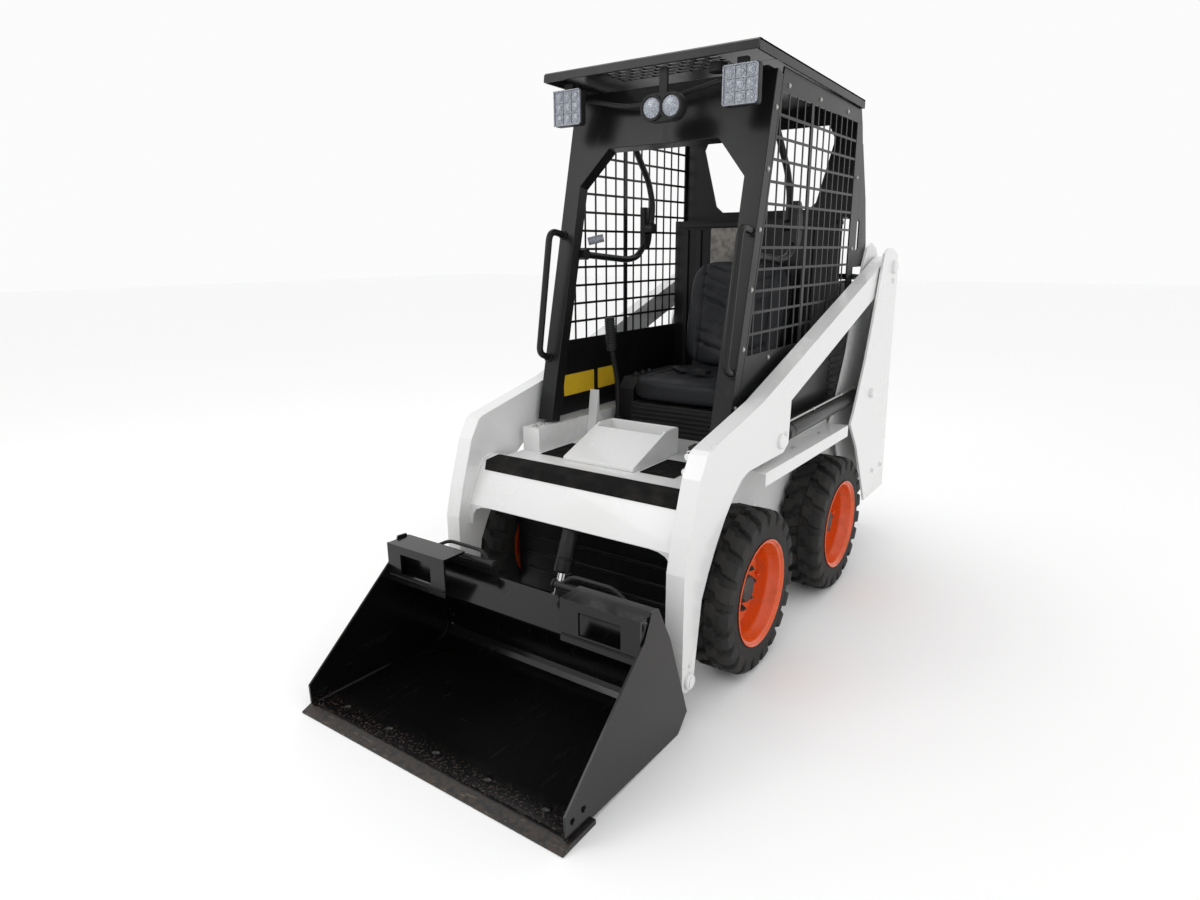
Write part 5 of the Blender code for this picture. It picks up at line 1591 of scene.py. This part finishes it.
def make_stage():
    """Pale floor that fades into a pale surround, and three soft lights."""
    size = 30.0
    mesh = bpy.data.meshes.new("floor")
    mesh.from_pydata(
        [(-size, -size, 0), (size, -size, 0), (size, size, 0), (-size, size, 0)], [], [(0, 1, 2, 3)]
    )
    floor = bpy.data.objects.new("floor", mesh)
    finish = Finish("studio_floor", (0.97, 0.97, 0.97), 0.9, specular=0.1)
    mesh.materials.append(finish.material)
    bpy.context.scene.collection.objects.link(floor)
    world = bpy.data.worlds.new("studio")
    world.use_nodes = True
    background = world.node_tree.nodes["Background"]
    background.inputs["Color"].default_value = (1, 1, 1, 1)
    background.inputs["Strength"].default_value = 0.97
    bpy.context.scene.world = world
    lights = (  # name, place, watts, size
        ("key", (-2.4, -3.6, 3.4), 26, 1.6),
        ("fill", (3.8, -2.4, 2.6), 8, 2.6),
        ("top", (-0.6, 0.8, 4.6), 22, 2.2),
    )
    for name, at, power, width in lights:
        data = bpy.data.lights.new(name, "AREA")
        data.energy = power
        data.size = width
        light = bpy.data.objects.new(name, data)
        light.location = at
        direction = Matrix.Translation(at).inverted() @ Matrix.Translation((0, 0, 0.7))
        light.rotation_euler = direction.to_translation().to_track_quat("-Z", "Y").to_euler()
        bpy.context.scene.collection.objects.link(light)
    bpy.context.scene.view_settings.view_transform = "Standard"


# ---------------------------------------------------------------- add-on
class LOADER_OT_frame(bpy.types.Operator):
    """Make the finishes and dress the frame's own plates"""

    bl_idname = "loader.frame"
    bl_label = "Finishes and plates"

    def execute(self, context):
        make_finishes()
        dress_frame()
        return {"FINISHED"}


class LOADER_OT_wheels(bpy.types.Operator):
    """Make the four tyres, dishes, hubs and nuts"""

    bl_idname = "loader.wheels"
    bl_label = "Wheels"

    def execute(self, context):
        make_wheels()
        return {"FINISHED"}


class LOADER_OT_cab(bpy.types.Operator):
    """Make the cab's screens, roof, lamps, handles and levers"""

    bl_idname = "loader.cab"
    bl_label = "Cab"

    def execute(self, context):
        make_cab()
        return {"FINISHED"}


class LOADER_OT_seat(bpy.types.Operator):
    """Make the seat's pads, bellows and belt"""

    bl_idname = "loader.seat"
    bl_label = "Seat"

    def execute(self, context):
        make_seat()
        return {"FINISHED"}


class LOADER_OT_arms(bpy.types.Operator):
    """Make the cylinders, pins, welds and strip of the lift arms"""

    bl_idname = "loader.arms"
    bl_label = "Arms and cylinders"

    def execute(self, context):
        make_arms()
        return {"FINISHED"}


class LOADER_OT_bucket(bpy.types.Operator):
    """Make the bucket's welds, bolts and latch levers"""

    bl_idname = "loader.bucket"
    bl_label = "Bucket"

    def execute(self, context):
        make_bucket()
        return {"FINISHED"}


class LOADER_OT_chassis(bpy.types.Operator):
    """Make the rear door's louvres and lamps, the air panels and the frame's bolts"""

    bl_idname = "loader.chassis"
    bl_label = "Chassis and rear"

    def execute(self, context):
        make_chassis()
        return {"FINISHED"}


class LOADER_OT_stage(bpy.types.Operator):
    """Make the camera, the floor and the lights"""

    bl_idname = "loader.stage"
    bl_label = "Stage"

    def execute(self, context):
        make_camera()
        make_stage()
        return {"FINISHED"}


OPERATORS = (
    LOADER_OT_frame, LOADER_OT_wheels, LOADER_OT_cab, LOADER_OT_seat, LOADER_OT_arms, LOADER_OT_bucket,
    LOADER_OT_chassis, LOADER_OT_stage,
)


class LOADER_PT_panel(bpy.types.Panel):
    bl_label = "Skid steer loader"
    bl_idname = "LOADER_PT_panel"
    bl_space_type = "VIEW_3D"
    bl_region_type = "UI"
    bl_category = "Loader"

    def draw(self, context):
        for operator in OPERATORS:
            self.layout.operator(operator.bl_idname)
        for group in (context.scene.loader_sizes, context.scene.loader_colours):
            for name in group.bl_rna.properties.keys():
                if name not in ("rna_type", "name"):
                    self.layout.prop(group, name)


CLASSES = (LoaderSizes, LoaderColours, *OPERATORS, LOADER_PT_panel)


def register():
    for cls in CLASSES:
        bpy.utils.register_class(cls)
    bpy.types.Scene.loader_sizes = PointerProperty(type=LoaderSizes)
    bpy.types.Scene.loader_colours = PointerProperty(type=LoaderColours)


def unregister():
    del bpy.types.Scene.loader_sizes
    del bpy.types.Scene.loader_colours
    for cls in reversed(CLASSES):
        bpy.utils.unregister_class(cls)


def main():
    register()
    for operator in ("frame", "wheels", "cab", "seat", "arms", "bucket", "chassis", "stage"):
        getattr(bpy.ops.loader, operator)()
    bpy.context.view_layer.update()


if __name__ == "__main__":
    main()
